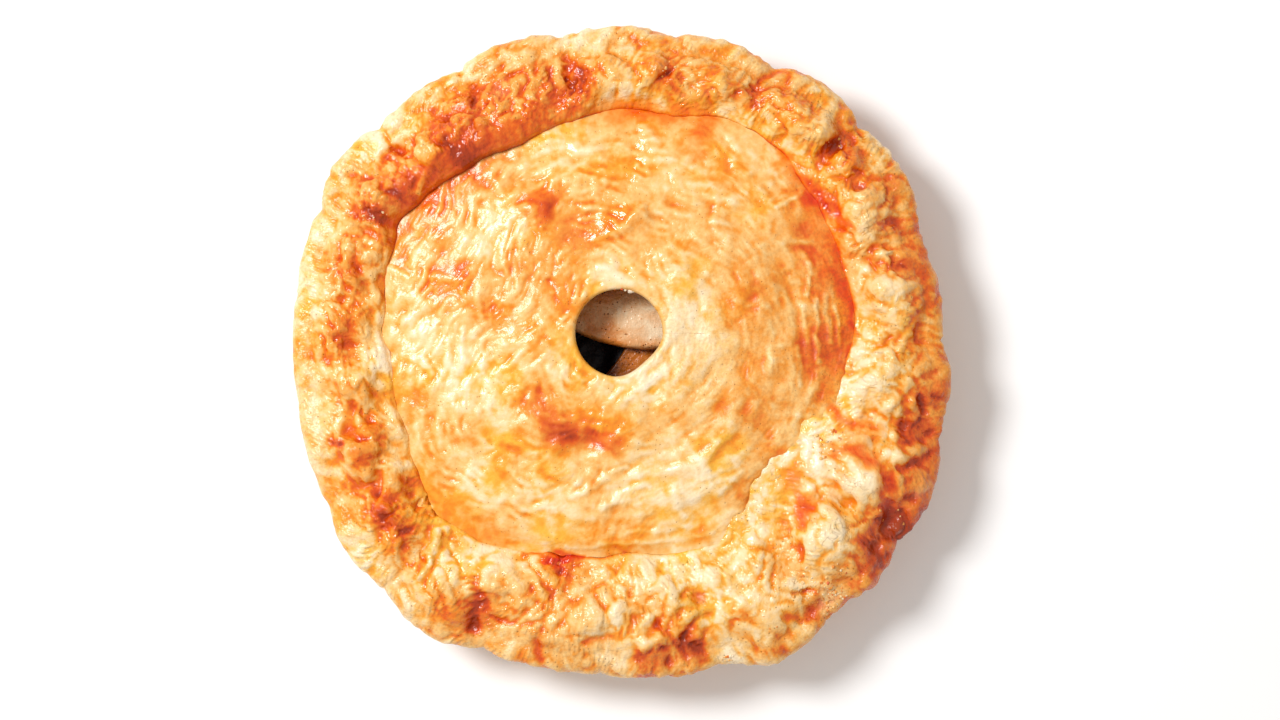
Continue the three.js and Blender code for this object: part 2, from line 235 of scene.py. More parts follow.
def rim_top(angle, share):
    """The rim's upper side: share 0 at the fold's edge, 1 where the outer roll begins."""
    reach, bulge = lobe_at(angle)
    seam = seam_radius(angle)
    point = polar(angle, blend(seam, reach - ROLL_REACH, share), 0.0)
    x, y = point[..., 0], point[..., 1]
    edge = polar(angle, seam, 0.0)
    steepness = bump_at(angle, STEEP_ANGLE, STEEP_HALF_WIDTH)
    lip_height = blend(LIP_HEIGHT, STANDING_LIP_HEIGHT, steepness)
    lip = lid_dome(edge[..., 0], edge[..., 1]) + lip_height
    lean = blend(GENTLE_LEAN, STEEP_LEAN, steepness)
    lean = blend(lean, FLAP_LEAN, bump_at(angle, FLAP_ANGLE, 1.4 * FLAP_HALF_WIDTH))
    crest = CREST_RISE * np.sin(np.pi * share ** lean)
    towards_edge = blend(1, EDGE_RELIEF, smoothstep(share, 0.6, 1))
    lumps = rim_lumps(x, y) * smoothstep(share, 0, 0.3)
    crease = CREASE_DEPTH * (1 - bulge) * smoothstep(share, 0.12, 0.6)
    pressed = (lip_height + LIP_PRESSED_IN * seam_gape(angle)) * (1 - smoothstep(share, 0, 0.07)) ** 2
    level = blend(lip, RIM_UNDER_Z + 2 * ROLL_HALF_HEIGHT, share)
    point[..., 2] = level + crest + (lumps - crease) * towards_edge - pressed
    return point


def rim_roll(angle, turn):
    """The rolled outer edge: turn 90 is its top, 0 its outermost line, -90 its underside."""
    reach, bulge = lobe_at(angle)
    out, up = np.cos(np.radians(turn)), np.sin(np.radians(turn))
    start = polar(angle, reach - ROLL_REACH, 0.0)
    x, y = start[..., 0], start[..., 1]
    relief = EDGE_RELIEF * (rim_lumps(x, y) - CREASE_DEPTH * (1 - bulge))
    droop = EDGE_DROOP * noise(x / LUMP_PITCH, y / LUMP_PITCH, 5) * out
    z = RIM_UNDER_Z + ROLL_HALF_HEIGHT * (1 + up) + droop + relief * np.maximum(0, up)
    return polar(angle, reach + ROLL_REACH * (out - 1), z)


def inner_wall_radius(z):
    slope = (WALL_TOP_RADIUS - BASE_RADIUS) / (RIM_UNDER_Z - BASE_CORNER)
    return BASE_RADIUS + slope * (z - BASE_CORNER) - CASE_THICKNESS * math.hypot(1, slope)


def even_angles(count):
    return np.arange(count) * 360 / count


def new_piece(name, points, faces):
    """A smooth piece from points in millimetres and the faces between them."""
    mesh = bpy.data.meshes.new(name)
    mesh.from_pydata((np.asarray(points) * MM).tolist(), [], faces)
    mesh.shade_smooth()
    piece = bpy.data.objects.new(name, mesh)
    bpy.context.scene.collection.objects.link(piece)
    return piece


def ringed_piece(name, rings, capped):
    """A closed mesh from rings of points: capped at both ends, or its last ring joined to its first."""
    rows, sectors = rings.shape[:2]
    row = np.arange(rows - 1 if capped else rows)[:, None] * sectors
    next_row = (row + sectors) % (rows * sectors)
    sector = np.arange(sectors)[None, :]
    beside = (sector + 1) % sectors
    corners = (row + sector, row + beside, next_row + beside, next_row + sector)
    faces = np.stack(corners, axis=-1).reshape(-1, 4).tolist()
    points = rings.reshape(-1, 3)
    if capped:
        ends = np.array([rings[0].mean(axis=0), rings[-1].mean(axis=0)])
        first, last = len(points), (rows - 1) * sectors
        faces += [(first, (i + 1) % sectors, i) for i in range(sectors)]
        faces += [(first + 1, last + i, last + (i + 1) % sectors) for i in range(sectors)]
        points = np.concatenate([points, ends])
    return new_piece(name, points, faces)


angles = even_angles(RIM_SECTORS)
corner_turns = np.radians(np.linspace(0, 90, CORNER_ROWS)[:, None])
wall_shares = np.linspace(0, 1, WALL_ROWS)[1:, None]
roll_turns = np.linspace(-90, 90, ROLL_ROWS)[:, None]
top_shares = np.linspace(1, 0, TOP_ROWS)[1:, None] ** TOP_ROWS_CROWDED
base_rows = polar(angles, np.array([[0.35], [0.7]]) * BASE_RADIUS, 0.0)
corner_radii = BASE_RADIUS + BASE_CORNER * (np.sin(corner_turns) - 1)
corner_rows = polar(angles, corner_radii, BASE_CORNER * (1 - np.cos(corner_turns)))
wall_radii = blend(BASE_RADIUS, WALL_TOP_RADIUS, wall_shares)
wall_rows = polar(angles, wall_radii, blend(BASE_CORNER, RIM_UNDER_Z, wall_shares))
slot_ends = np.array([[0.0], [1.0]])
slot_radii = blend(seam_radius(angles) + SLOT_INSET, LID_RADIUS + SLOT_END_ROOM, slot_ends)
slot_rows = on_surface(polar(angles, slot_radii, 0.0), lid_dome, SLOT_CLEARANCE)
under_row = slot_rows[1:] - np.array([0, 0, LID_THICKNESS + 2 * SLOT_CLEARANCE])
inside_heights = np.array([[RIM_UNDER_Z], [CASE_THICKNESS]])
inside_rows = polar(angles, inner_wall_radius(inside_heights), inside_heights)
floor_row = polar(angles, np.array([[BASE_RADIUS / 2]]), CASE_THICKNESS)

# Each block of rows says how far across the crust it lies: from 0 at the fold's edge over 1 at the
# top of the roll and 2 under it to 3 at the base, and -1 where the crust is hidden inside.
crust_blocks = [
    (base_rows, [3, 3]),
    (corner_rows, [3] * len(corner_rows)),
    (wall_rows, 3 - wall_shares[:, 0]),
    (rim_roll(angles, roll_turns), 1 + (90 - roll_turns[:, 0]) / 180),
    (rim_top(angles, top_shares), top_shares[:, 0]),
    (slot_rows, [-1, -1]),
    (under_row, [-1]),
    (inside_rows, [-1, -1]),
    (floor_row, [-1]),
]
crust_rings = np.concatenate([rows for rows, _ in crust_blocks])
row_places = np.concatenate([np.asarray(places, float) for _, places in crust_blocks])
across = np.append(np.repeat(row_places, RIM_SECTORS), [3, -1])
pastry_case = ringed_piece("pastry_case", crust_rings, capped=True)

# Places on the rim, read from the photograph: where it browned, folded into valleys and ridges,
# stayed dry and floury, or took a stain of juice. RIM_TURNS are [angle, half width, browning].
RIM_BROWNED = [
    [-89, 82, 10, 0.34], [-104, 69, 8, 0.34], [-102, 54, 9, 0.46], [-108, 31, 11, 0.14],
    [-88, 60, 15, 0.18], [-60, 77, 17, 0.20], [-72, 92, 13, 0.14], [-60, 98, 11, 0.20],
    [-19, 106, 8, 0.20], [17, 112, 11, 0.28], [0, 126, 9, 0.18], [53, 101, 8, 0.22], [43, 100, 8, 0.14],
    [86, 81, 7, 0.38], [93, 75, 9, 0.20], [107, 68, 10, 0.30], [105, 52, 9, 0.16], [99, 37, 9, 0.24],
    [112, 33, 10, 0.28], [119, 18, 10, 0.18], [118, 0, 11, 0.16], [119, -17, 13, 0.30],
    [113, -31, 11, 0.24], [108, -68, 9, 0.52], [99, -80, 11, 0.28], [119, -62, 10, 0.14],
    [77, -98, 11, 0.18], [60, -112, 13, 0.26], [46, -104, 10, 0.26], [33, -113, 10, 0.28],
    [29, -119, 10, 0.24], [12, -122, 10, 0.34], [-10, -112, 10, 0.14], [-31, -115, 9, 0.22],
    [-24, -84, 8, 0.14], [-57, -104, 7, 0.20], [-50, -96, 10, 0.14], [-94, -65, 9, 0.28],
    [-84, -72, 11, 0.20], [-66, -77, 9, 0.18], [-86, -50, 11, 0.24], [-100, -42, 10, 0.24],
    [-97, -33, 8, 0.26], [-114, -37, 8, 0.36], [-104, -17, 12, 0.22], [-108, 4, 10, 0.22],
    [-115, 39, 10, 0.14], [-99, 20, 9, 0.10],
]
RIM_VALLEYS = [
    [-110, 20, -107, 10, 3.2, 1.8], [-107, 10, -107, 3, 3.6, 2.6], [-107, 3, -106, -4, 3.0, 2.2],
    [-106, -4, -99, -9, 2.4, 1.2], [-116, 0, -116, -6, 1.5, 1.0], [-101, -14, -97, -22, 3.0, 1.6],
    [-97, -22, -98, -28, 4.0, 2.2], [-98, -28, -102, -32, 3.0, 1.8], [-106, -20, -107, -30, 2.2, 2.2],
    [-107, -30, -112, -36, 2.6, 2.2], [-113, -34, -113, -42, 3.2, 1.6], [-103, 0, -97, 2, 0.9, 0.7],
    [-105, 56, -98, 53, 3.6, 2.8], [-98, 53, -91, 51, 3.0, 1.8], [-101, 50, -102, 43, 4.0, 1.0],
    [-106, 38, -104, 33, 2.6, 1.8], [-104, 31, -97, 35, 0.9, 0.8], [-102, 28, -101, 23, 1.6, 1.0],
    [-96, 29, -95, 22, 1.6, 1.2], [-98, 17, -97, 9, 2.0, 1.0], [-98, -50, -95, -60, 2.6, 2.4],
    [-95, -60, -94, -70, 2.8, 2.6], [-94, -70, -95, -80, 2.2, 1.6], [-95, -80, -99, -88, 2.2, 2.0],
    [-94, -58, -84, -57, 2.8, 2.0], [-84, -57, -84, -49, 2.4, 1.4], [-80, -62, -78.5, -60, 2.2, 2.6],
    [-88, -61, -80, -62, 1.8, 1.6], [-84, -66, -73, -64, 1.4, 1.0], [-86, -72, -77, -71, 3.0, 1.2],
    [-75, -73, -80, -87, 1.5, 1.2], [-71, -73, -76, -87, 1.4, 1.2], [-66, -76, -68, -84, 2.6, 1.4],
    [-56, -84, -59, -95, 1.8, 1.2], [-57, -97, -56, -103, 2.6, 2.0], [-56, -103, -59, -111, 4.2, 3.2],
    [-54, -106, -31, -107, 1.2, 1.6], [-76, -111, -70, -113, 1.1, 1.1],
    [-70, -113, -57, -113, 1.3, 1.3], [-39, -83, -36, -92, 2.4, 1.6], [-36, -84, -28, -97, 1.2, 1.4],
    [-28, -97, -24, -104, 2.6, 1.6], [-24, -104, -27, -111, 2.6, 1.6], [-30, -111, -33, -122, 2.4, 1.8],
    [-45, -98, -42, -103, 1.8, 0.9], [-21, -101, -10, -93, 1.8, 1.4], [-10, -93, -3, -87, 1.6, 1.2],
    [-24, -81, -25, -88, 1.4, 1.2], [-15, -114, 5, -112, 1.5, 1.8], [5, -112, 14, -108, 2.2, 2.2],
    [3, -95, 3, -101, 1.8, 1.4], [5, -101, 4, -108, 2.4, 1.2], [-6, -101, -7, -109, 1.4, 1.2],
    [16, -118, 18, -123, 2.4, 2.2], [25, -112, 24, -118, 3.0, 1.8], [30, -116, 32, -121, 2.8, 2.2],
    [10, -99, 18, -93, 1.3, 1.0], [26, -93, 34, -104, 2.2, 1.2], [15, -86, 26, -90, 3.0, 1.0],
    [42, -110, 50, -104, 3.0, 1.2], [61, -113, 66, -112, 2.6, 1.8], [68, -106, 76, -103, 3.6, 2.2],
    [64, -98, 68, -103, 2.8, 1.4], [69, -96, 80, -93, 1.4, 2.0], [78, -90, 84, -97, 1.8, 1.6],
    [84, -97, 87, -102, 2.0, 1.8], [89, -79, 96, -85, 1.6, 1.4], [96, -73, 101, -78, 2.6, 2.2],
    [101, -78, 103, -83, 1.8, 1.8], [105, -48, 106, -60, 3.2, 2.6], [106, -60, 107, -66, 4.0, 3.4],
    [107, -66, 106, -72, 4.4, 3.6], [100, -67, 98, -72, 2.4, 1.2], [110, -46, 122, -40, 2.0, 1.8],
    [108, -29, 122, -31, 3.0, 2.4], [112, -34, 122, -33, 3.0, 1.6], [84.6, -74, 85.4, -78, 0.8, 1.6],
    [85.4, -78, 82, -79.5, 0.7, 1.2], [66, -74, 67, -77, 0.9, 1.2], [69, -77, 70, -82, 1.4, 1.2],
    [100, -22, 104, -27, 1.4, 1.0], [112, -20, 113, -26, 1.3, 1.3], [118, -18, 119, -25, 1.2, 1.2],
    [113, -12, 124, -8, 1.4, 1.0], [99, 2, 108, 6, 2.6, 1.4], [89, -9, 98, -4, 2.2, 1.4],
    [110, -2, 113, -10, 2.6, 1.2], [117, 16, 118, 4, 1.6, 1.4], [91, 37, 98, 35.5, 2.2, 1.4],
    [96, 41, 108, 42, 1.8, 1.2], [99, 37, 104, 36, 1.4, 1.0], [109, 38, 113, 31, 3.2, 1.6],
    [106, 60, 108, 48, 2.6, 1.6], [90, 49, 91, 44, 1.6, 1.0], [84, 58, 86, 50, 2.4, 1.0],
    [88, 67, 102, 67, 2.8, 1.4], [81, 76, 84, 80, 3.2, 3.0], [84, 80, 90, 84, 3.2, 3.0],
    [95, 77, 94, 71, 2.8, 2.0], [94, 71, 89, 70, 2.4, 1.4], [107, 75, 105, 68, 2.6, 1.2],
    [92, 92, 98, 84, 1.6, 1.0], [53, 104, 53, 97, 2.4, 1.8], [53, 97, 55, 92, 2.0, 1.0],
    [62, 87, 63, 83, 1.0, 1.2], [48, 89, 56, 84, 1.1, 0.9], [20, 104, 20, 100, 2.4, 1.4],
    [15, 108, 18, 107, 2.4, 1.2], [24, 106, 25, 101, 1.6, 1.0], [35, 104, 35, 98, 1.4, 1.0],
    [-23, 118, -20, 111, 2.2, 1.6], [-18, 111, -18, 105, 3.4, 2.0], [-18, 105, -26, 100, 2.8, 1.8],
    [-30, 116, -27, 110, 1.4, 0.8], [-13, 106, -12, 100, 2.2, 1.0], [-2, 104, -2, 100, 1.0, 0.9],
    [2, 128, 9, 121, 2.4, 1.0], [-45, 97, -44, 101, 1.6, 1.6], [-49, 112, -51, 106, 2.0, 1.2],
    [-58, 104, -57, 96, 2.6, 1.4], [-59, 92, -57, 86, 1.6, 1.6], [-72, 91, -73, 96, 1.8, 1.2],
    [-48, 92, -43, 95, 2.6, 1.6], [-87, 80, -82, 84, 3.0, 2.6], [-95, 77, -88, 81, 1.8, 2.0],
    [-107, 70, -99, 69, 2.0, 1.8], [-94, 66, -96, 60, 1.6, 1.4], [-69, 84, -66, 78, 2.4, 1.6],
    [-66, 78, -62, 74, 2.2, 1.2], [-78, 74, -82, 66, 1.6, 1.4], [-73, 72, -78, 64, 1.6, 1.2],
    [-92, 62, -86, 60, 1.4, 1.0], [-100, 76, -102, 72, 1.8, 1.0],
]
RIM_RIDGES = [
    [-96, 19, -93, 13, 2.6, 1.4], [-93, 13, -91, 3, 2.2, 1.2], [-91, 3, -91, -12, 2.0, 1.0],
    [-100, 33, -94, 38, 4.0, 1.2], [-118, 24, -120, 16, 3.2, 1.2], [-114, 18, -110, 17, 3.0, 1.2],
    [-99, -3, -95, -8, 5.0, 1.6], [-94, -24, -88, -34, 2.6, 1.2], [-91, -44, -84, -46, 3.4, 1.2],
    [-73, -72, -78, -88, 1.8, 1.3], [-69, -71, -71, -86, 1.8, 1.2], [-80, -74, -83, -86, 2.0, 1.0],
    [-39, -84, -31, -98, 1.5, 1.6], [-35, -80, -27, -92, 1.5, 1.2], [-17, -97, -7, -89, 3.4, 1.6],
    [-5, -103, -8, -110, 2.2, 1.4], [0, -100, -3, -107, 2.2, 1.4], [17, -92, 12, -106, 2.4, 1.4],
    [22, -93, 18, -106, 2.2, 1.4], [27, -97, 25, -106, 2.2, 1.2], [5, -119, 14, -116, 3.0, 1.6],
    [28, -90, 36, -93, 3.0, 1.0], [56, -80, 52, -90, 2.4, 1.0], [61, -80, 57, -90, 2.4, 1.0],
    [70, -92, 79, -91, 3.4, 1.6], [86, -33, 98, -36.5, 1.9, 1.8], [73, -36, 75, -56, 1.5, 1.2],
    [77, -36, 77.5, -57, 1.4, 1.0], [109, -50, 109.5, -62, 1.5, 1.4], [110, -42, 122, -36, 2.2, 1.2],
    [115, -20, 116, -26, 1.3, 1.2], [121, -15, 122, -24, 1.3, 1.0], [96, 5, 94, -2, 2.4, 1.0],
    [88, 4, 90, -6, 2.2, 1.2], [100, 38, 107, 40, 1.7, 1.6], [96, 38.5, 106, 37, 1.4, 1.2],
    [84, 78, 88, 80, 2.6, 1.2], [48, 105, 49, 101, 2.4, 1.2], [57, 98, 57, 92, 2.0, 1.2],
    [26, 105, 25, 102, 1.8, 1.0], [-24, 112, -23, 103, 2.6, 1.4], [-31, 112, -31, 103, 2.4, 1.0],
    [-42, 100, -42, 92, 1.8, 1.4], [-57, 90, -57, 83, 1.8, 1.2], [-75, 71, -79, 63, 1.4, 1.4],
    [-78, 76, -80, 70, 1.4, 1.2], [-95, 62, -98, 57, 1.6, 1.4], [-96, 79, -90, 83, 1.8, 1.0],
    [-64, 80, -62, 75, 2.2, 1.0],
]
RIM_FLOURY = [
    [95, 54, 16, 0.7], [101, -11, 11, 0.9], [110, 20, 15, 0.6], [96, -52, 13, 1.0], [82, -72, 14, 0.9],
    [45, -93, 14, 0.7], [67, -88, 11, 0.6], [44, -121, 8, 1.1], [84, -98, 8, 1.0], [75, 87, 13, 0.6],
    [26, 104, 10, 0.5], [-46, -118, 9, 0.9], [-4, -121, 11, 1.0], [39, 104, 10, 0.4],
    [-47, 102, 9, 0.4], [120, -52, 9, 0.5],
]
RIM_TURNS = [[45, 34, -0.06], [195, 30, 0.09], [222, 20, -0.05], [255, 32, 0.13], [298, 44, -0.07]]
JUICE_RUNS = [
    [61, 82, 66, 73, 3.5, 0.80], [66, 73, 71, 67, 4.5, 0.90], [71, 67, 76, 62, 5.5, 1.00],
    [76, 62, 80, 59, 6.5, 1.20], [80, 59, 87, 52, 5.5, 0.95], [80, 58, 80, 24, 10, 0.62],
    [84, 42, 88, 30, 4.0, 0.95], [88, 30, 90, 22, 4.0, 1.00], [90, 22, 92, 11, 4.0, 1.25],
    [92, 11, 92, 4, 2.8, 0.90], [92, 4, 90, -8, 2.2, 0.70], [-6, 96, 34, 93, 6.5, 0.75],
    [83, -22, 89, -29, 4.5, 1.00], [89, -29, 99, -31, 5.0, 0.90], [82, -37, 92, -41, 4.5, 1.00],
    [92, -41, 101, -44, 5.5, 1.20], [90, -34, 98, -36, 10, 0.60], [101, -44, 104, -52, 4.5, 0.70],
    [74, -64, 73, -58, 6.5, 1.00], [66, -50, 69, -45, 8, 0.55], [83, -57, 84, -50, 7, 0.50],
    [-40, -79, -28, -80, 1.6, 0.90], [-28, -80, -16, -81, 2.2, 1.35], [-25, -80, -23, -88, 2.0, 0.90],
    [104, -52, 106, -66, 6, 0.60], [30, 92, 30, 78, 7, 0.45],
]


def keep_attribute(piece, name, values):
    """Stores one number, or one vector, for each point of a piece."""
    kind, field = ("FLOAT_VECTOR", "vector") if values.ndim == 2 else ("FLOAT", "value")
    layer = piece.data.attributes.new(name, kind, "POINT")
    layer.data.foreach_set(field, values.astype(np.float32).ravel())


def points_of(piece):
    """A piece's points in millimetres."""
    flat = np.zeros(len(piece.data.vertices) * 3, np.float32)
    piece.data.vertices.foreach_get("co", flat)
    return flat.reshape(-1, 3).astype(float) / MM


def spots(x, y, places):
    """The sum of soft round spots, each [x, y, radius, strength], with ragged edges."""
    ragged_x = x + 4.5 * noise(x / 8, y / 8, 21) + 1.6 * noise(x / 2.6, y / 2.6, 22)
    ragged_y = y + 4.5 * noise(x / 8, y / 8, 23) + 1.6 * noise(x / 2.6, y / 2.6, 24)
    total = np.zeros_like(x)
    for spot_x, spot_y, radius, strength in places:
        total += strength * (1 - smoothstep(np.hypot(ragged_x - spot_x, ragged_y - spot_y), 0, radius))
    return total


def strokes(x, y, lines, ragged=1.0, spread=1.0):
    """The strongest of soft lines, each [from x, from y, to x, to y, half width, strength]."""
    ragged_x = x + ragged * (1.5 * noise(x / 6, y / 6, 25) + 0.6 * noise(x / 2.2, y / 2.2, 26))
    ragged_y = y + ragged * (1.5 * noise(x / 6, y / 6, 27) + 0.6 * noise(x / 2.2, y / 2.2, 28))
    x, y = ragged_x, ragged_y
    strongest = np.zeros_like(x)
    for from_x, from_y, to_x, to_y, half_width, strength in lines:
        run_x, run_y = to_x - from_x, to_y - from_y
        along = np.clip(((x - from_x) * run_x + (y - from_y) * run_y) / (run_x ** 2 + run_y ** 2), 0, 1)
        away = np.hypot(x - from_x - along * run_x, y - from_y - along * run_y)
        strongest = np.maximum(strongest, strength * (1 - smoothstep(away, 0, spread * half_width)))
    return strongest


# Where each point of the crust lies, and what the photograph shows there.
x, y, _ = points_of(pastry_case).T
angle = np.degrees(np.arctan2(y, x)) % 360
shown = (across >= 0).astype(float)
on_wall = smoothstep(across, 1.7, 2)
on_edge = smoothstep(across, 0.7, 1.05) * (1 - on_wall)
in_groove = (1 - smoothstep(across, 0.0, 0.12)) * shown
crest = smoothstep(across, 0.2, 0.5) * (1 - smoothstep(across, 0.75, 1.1))
steep_side = bump_at(angle, STEEP_ANGLE, STEEP_HALF_WIDTH)
pushed_side = steep_side * (1 - smoothstep(across, 0.25, 0.5))
inner_slope = (1 - smoothstep(across, 0.12, 0.45)) * shown * (1 - steep_side)
upper_left = bump_at(angle, 130, 65) * (1 - on_edge) * (1 - on_wall)
smooth_side = bump_at(angle, 195, 85)
# A darker line along the seam: painted shade in the crease between the fold and the lid.
seam_crease_shade = (1 - smoothstep(across, 0.0, 0.035)) * shown * (1 - bump_at(angle, FLAP_ANGLE, 45))
seam_crease_shade *= 1 - 0.8 * bump_at(angle, 190, 55)
lip_ridge = (1 - smoothstep(np.abs(across - 0.08), 0, 0.06)) * bump_at(angle, 188, 38)
patch = noise(x / 21, y / 21, 31)
broken = np.clip(0.82 + 0.6 * noise(x / 7, y / 7, 32), 0.2, 1.3)
browned = broken * spots(x, y, RIM_BROWNED) * (1 - on_wall)
uneven = np.clip(0.85 + 0.7 * noise(x / 5, y / 5, 43), 0.15, 1.4) * shown * (1 - on_wall)
sunken = 0.65 * uneven * strokes(x, y, RIM_VALLEYS, ragged=0.9, spread=1.8)
ridged = 0.75 * uneven * strokes(x, y, RIM_RIDGES, ragged=0.9, spread=1.8)

# The mounds stand higher than in the solids, and the hollow at the top of the rim is shallower.
FILLED_HOLLOW = [-20, 107, 9, 3]
raised_mounds = [mound for mound in RIM_MOUNDS if mound[3] > 0] + [FILLED_HOLLOW]
swollen = 0.6 * swellings(x, y, raised_mounds) * smoothstep(across, 0.1, 0.35)
swollen *= 1 - smoothstep(across, 0.9, 1.3)

# How much relief each point gets, and the direction that the folds run in.
relief = shown * smoothstep(across, 0.0, 0.1) * (1 - 0.85 * on_wall) * (1 - 0.8 * pushed_side)
relief *= 1 - 0.35 * inner_slope
relief *= (1 - 0.2 * on_edge - 0.4 * smooth_side * on_edge) * (1 - smoothstep(across, 2.7, 2.95))
keep_attribute(pastry_case, "relief", relief)
keep_attribute(pastry_case, "form", rim_lumps(x, y) * relief)
keep_attribute(pastry_case, "creased", sunken - ridged - 0.5 * lip_ridge - swollen)
cragged = 0.25 + 2.2 * browned + 0.2 * crest + 0.3 * patch + 0.5 * upper_left
keep_attribute(pastry_case, "crags", relief * np.clip(cragged, 0, 1.3))
fold_turn = angle + 90 - 75 * bump_at(angle, 190, 40) - 60 * bump_at(angle, 120, 45)
fold_turn += 55 * noise(x / 28, y / 28, 37)
keep_attribute(pastry_case, "wrinkle_turn", np.radians(fold_turn))

# How far each point baked, with painted shade and light mixed in where marked below, and where
# glaze, flour, juice and the brushed egg lie.
bake = 0.37 + 0.08 * crest - 0.06 * inner_slope + 0.95 * browned + 0.18 * upper_left + 0.15 * patch
# Darker valleys and paler ridges are painted shade and light; the darker seam crease is painted shade.
bake += 0.20 * pushed_side + 0.14 * on_wall + 0.08 * sunken - 0.08 * ridged + 0.28 * seam_crease_shade
# The outer edge is darker on the right, painted shade where it turns from the light, and a little paler
# on the lit left side, painted light.
bake -= on_edge * (0.08 * smooth_side - 0.06 - 0.24 * bump_at(angle, -20, 90))
bake += bumps_at(angle, RIM_TURNS) * (1 - on_wall)
# Darker on the inner slope at the right, and paler on the crest and outer edge at the upper left.
bake += 0.17 * inner_slope * bump_at(angle, 28, 44) - 0.10 * (crest + on_edge) * bump_at(angle, 135, 34)
keep_attribute(pastry_case, "bake", bake)
pooled = 0.26 + 0.6 * patch + 0.4 * in_groove + 0.5 * pushed_side + 0.4 * sunken - 0.3 * ridged
pooled += 0.6 * browned
keep_attribute(pastry_case, "glaze", pooled * (1 - on_wall) * (1 - 0.6 * on_edge))
keep_attribute(pastry_case, "flour", spots(x, y, RIM_FLOURY) * (1 - on_wall) + 0.35 * on_wall)
juice = strokes(x, y, JUICE_RUNS, ragged=1.8, spread=1.3)
keep_attribute(pastry_case, "juice", juice * shown * (1 - on_wall))
keep_attribute(pastry_case, "wash", shown * (1 - on_wall) * (1 - 0.5 * on_edge))


class Wire:
    """One value in a node tree. Arithmetic on it adds Math nodes, and node() adds any other node."""

    def __init__(self, tree, socket=None):
        self.tree = tree
        self.socket = socket

    def node(self, kind, settings, sockets, output=0):
        """A new node of a kind: its settings are set first, then its sockets get values or links."""
        made = self.tree.nodes.new(kind)
        for name, value in settings.items():
            if name == "stops":
                self.set_stops(made.color_ramp.elements, value)
            else:
                setattr(made, name, value)
        for name, value in sockets.items():
            if isinstance(value, Wire):
                self.tree.links.new(value.socket, made.inputs[name])
            else:
                made.inputs[name].default_value = value
        return Wire(self.tree, made.outputs[output])

    @staticmethod
    def set_stops(elements, stops):
        while len(elements) < len(stops):
            elements.new(1.0)
        for element, (place, colour) in zip(elements, stops):
            element.position = place
            element.color = colour

    def other(self, output):
        """Another output of the node that this value comes from."""
        return Wire(self.tree, self.socket.node.outputs[output])

    def math(self, operation, *values):
        return self.node("ShaderNodeMath", {"operation": operation}, dict(enumerate(values)))

    def __add__(self, other):
        return self.math("ADD", self, other)

    def __sub__(self, other):
        return self.math("SUBTRACT", self, other)

    def __mul__(self, other):
        return self.math("MULTIPLY", self, other)

    def __truediv__(self, other):
        return self.math("DIVIDE", self, other)

    def __rsub__(self, other):
        return self.math("SUBTRACT", other, self)

    def __rtruediv__(self, other):
        return self.math("DIVIDE", other, self)

    __radd__ = __add__
    __rmul__ = __mul__

    def size(self):
        return self.math("ABSOLUTE", self)

    def between(self, low, high):
        """0 below low, 1 above high, and smooth between."""
        limits = {"Value": self, "From Min": low, "From Max": high}
        return self.node("ShaderNodeMapRange", {"interpolation_type": "SMOOTHSTEP"}, limits)

    def noise(self, pitch, detail=0.0, warp=0.0, seed=0.0):
        """Noise from 0 to 1 over this place, its pitch in the place's own unit."""
        values = {"Vector": self, "Scale": 1 / pitch, "Detail": detail, "Distortion": warp}
        if isinstance(seed, Wire):
            return self.node("ShaderNodeTexNoise", {"noise_dimensions": "4D"}, {**values, "W": seed})
        return self.node("ShaderNodeTexNoise", {}, values)

    def billows(self, pitch, detail=0.0, warp=0.0, seed=0.0):
        """Round swellings with sharp valleys: 0 in the valleys, and about 0.25 on average."""
        return (2 * self.noise(pitch, detail, warp, seed) - 1).size()

    def waves(self, pitch, turn):
        """Short waves over x and y from 0 to 1, across the direction that an angle in radians gives."""
        shape = {"Scale": 0.5 / pitch, "Frequency": 2.0, "Anisotropy": 0.9, "Orientation": turn}
        return self.node("ShaderNodeTexGabor", {}, {"Vector": self, **shape})

    def cells(self, pitch, smoothness=0.0):
        """The distance to the nearest of scattered points, in shares of their pitch."""
        values = {"Vector": self, "Scale": 1 / pitch}
        if smoothness == 0:
            return self.node("ShaderNodeTexVoronoi", {}, values)
        values["Smoothness"] = smoothness
        return self.node("ShaderNodeTexVoronoi", {"feature": "SMOOTH_F1"}, values)

    def scaled(self, factor):
        values = {"Vector": self, "Scale": factor}
        return self.node("ShaderNodeVectorMath", {"operation": "SCALE"}, values)

    def moved(self, offset):
        return self.node("ShaderNodeVectorMath", {"operation": "ADD"}, {0: self, 1: offset})

    def wandered(self, pitch, reach, seed):
        """This place moved about by soft noise, so that what follows it isn't regular."""
        drift = self.noise(pitch, 1.0, 0.0, seed).other("Color").moved((-0.5, -0.5, -0.5))
        return self.moved(drift.scaled(2 * reach))

    def point_place(self):
        """The place of each point of a geometry, in millimetres."""
        return self.node("GeometryNodeInputPosition", {}, {}).scaled(1 / MM)

    def attribute(self, name, kind="FLOAT"):
        """What a geometry keeps at its points under a name."""
        return self.node("GeometryNodeInputNamedAttribute", {"data_type": kind}, {"Name": name})

    def blurred(self, rounds):
        """This number evened out over the mesh round each point."""
        values = {"Value": self, "Iterations": rounds}
        return self.node("GeometryNodeBlurAttribute", {"data_type": "FLOAT"}, values)

    def stored(self, name, value):
        """This geometry with a number kept at each of its points."""
        settings = {"data_type": "FLOAT", "domain": "POINT"}
        values = {"Geometry": self, "Name": name, "Value": value}
        return self.node("GeometryNodeStoreNamedAttribute", settings, values)

    def raised(self, height):
        """This geometry with its points moved along its normal by a height in millimetres."""
        offset = self.node("GeometryNodeInputNormal", {}, {}).scaled(height * MM)
        return self.node("GeometryNodeSetPosition", {}, {"Geometry": self, "Offset": offset})

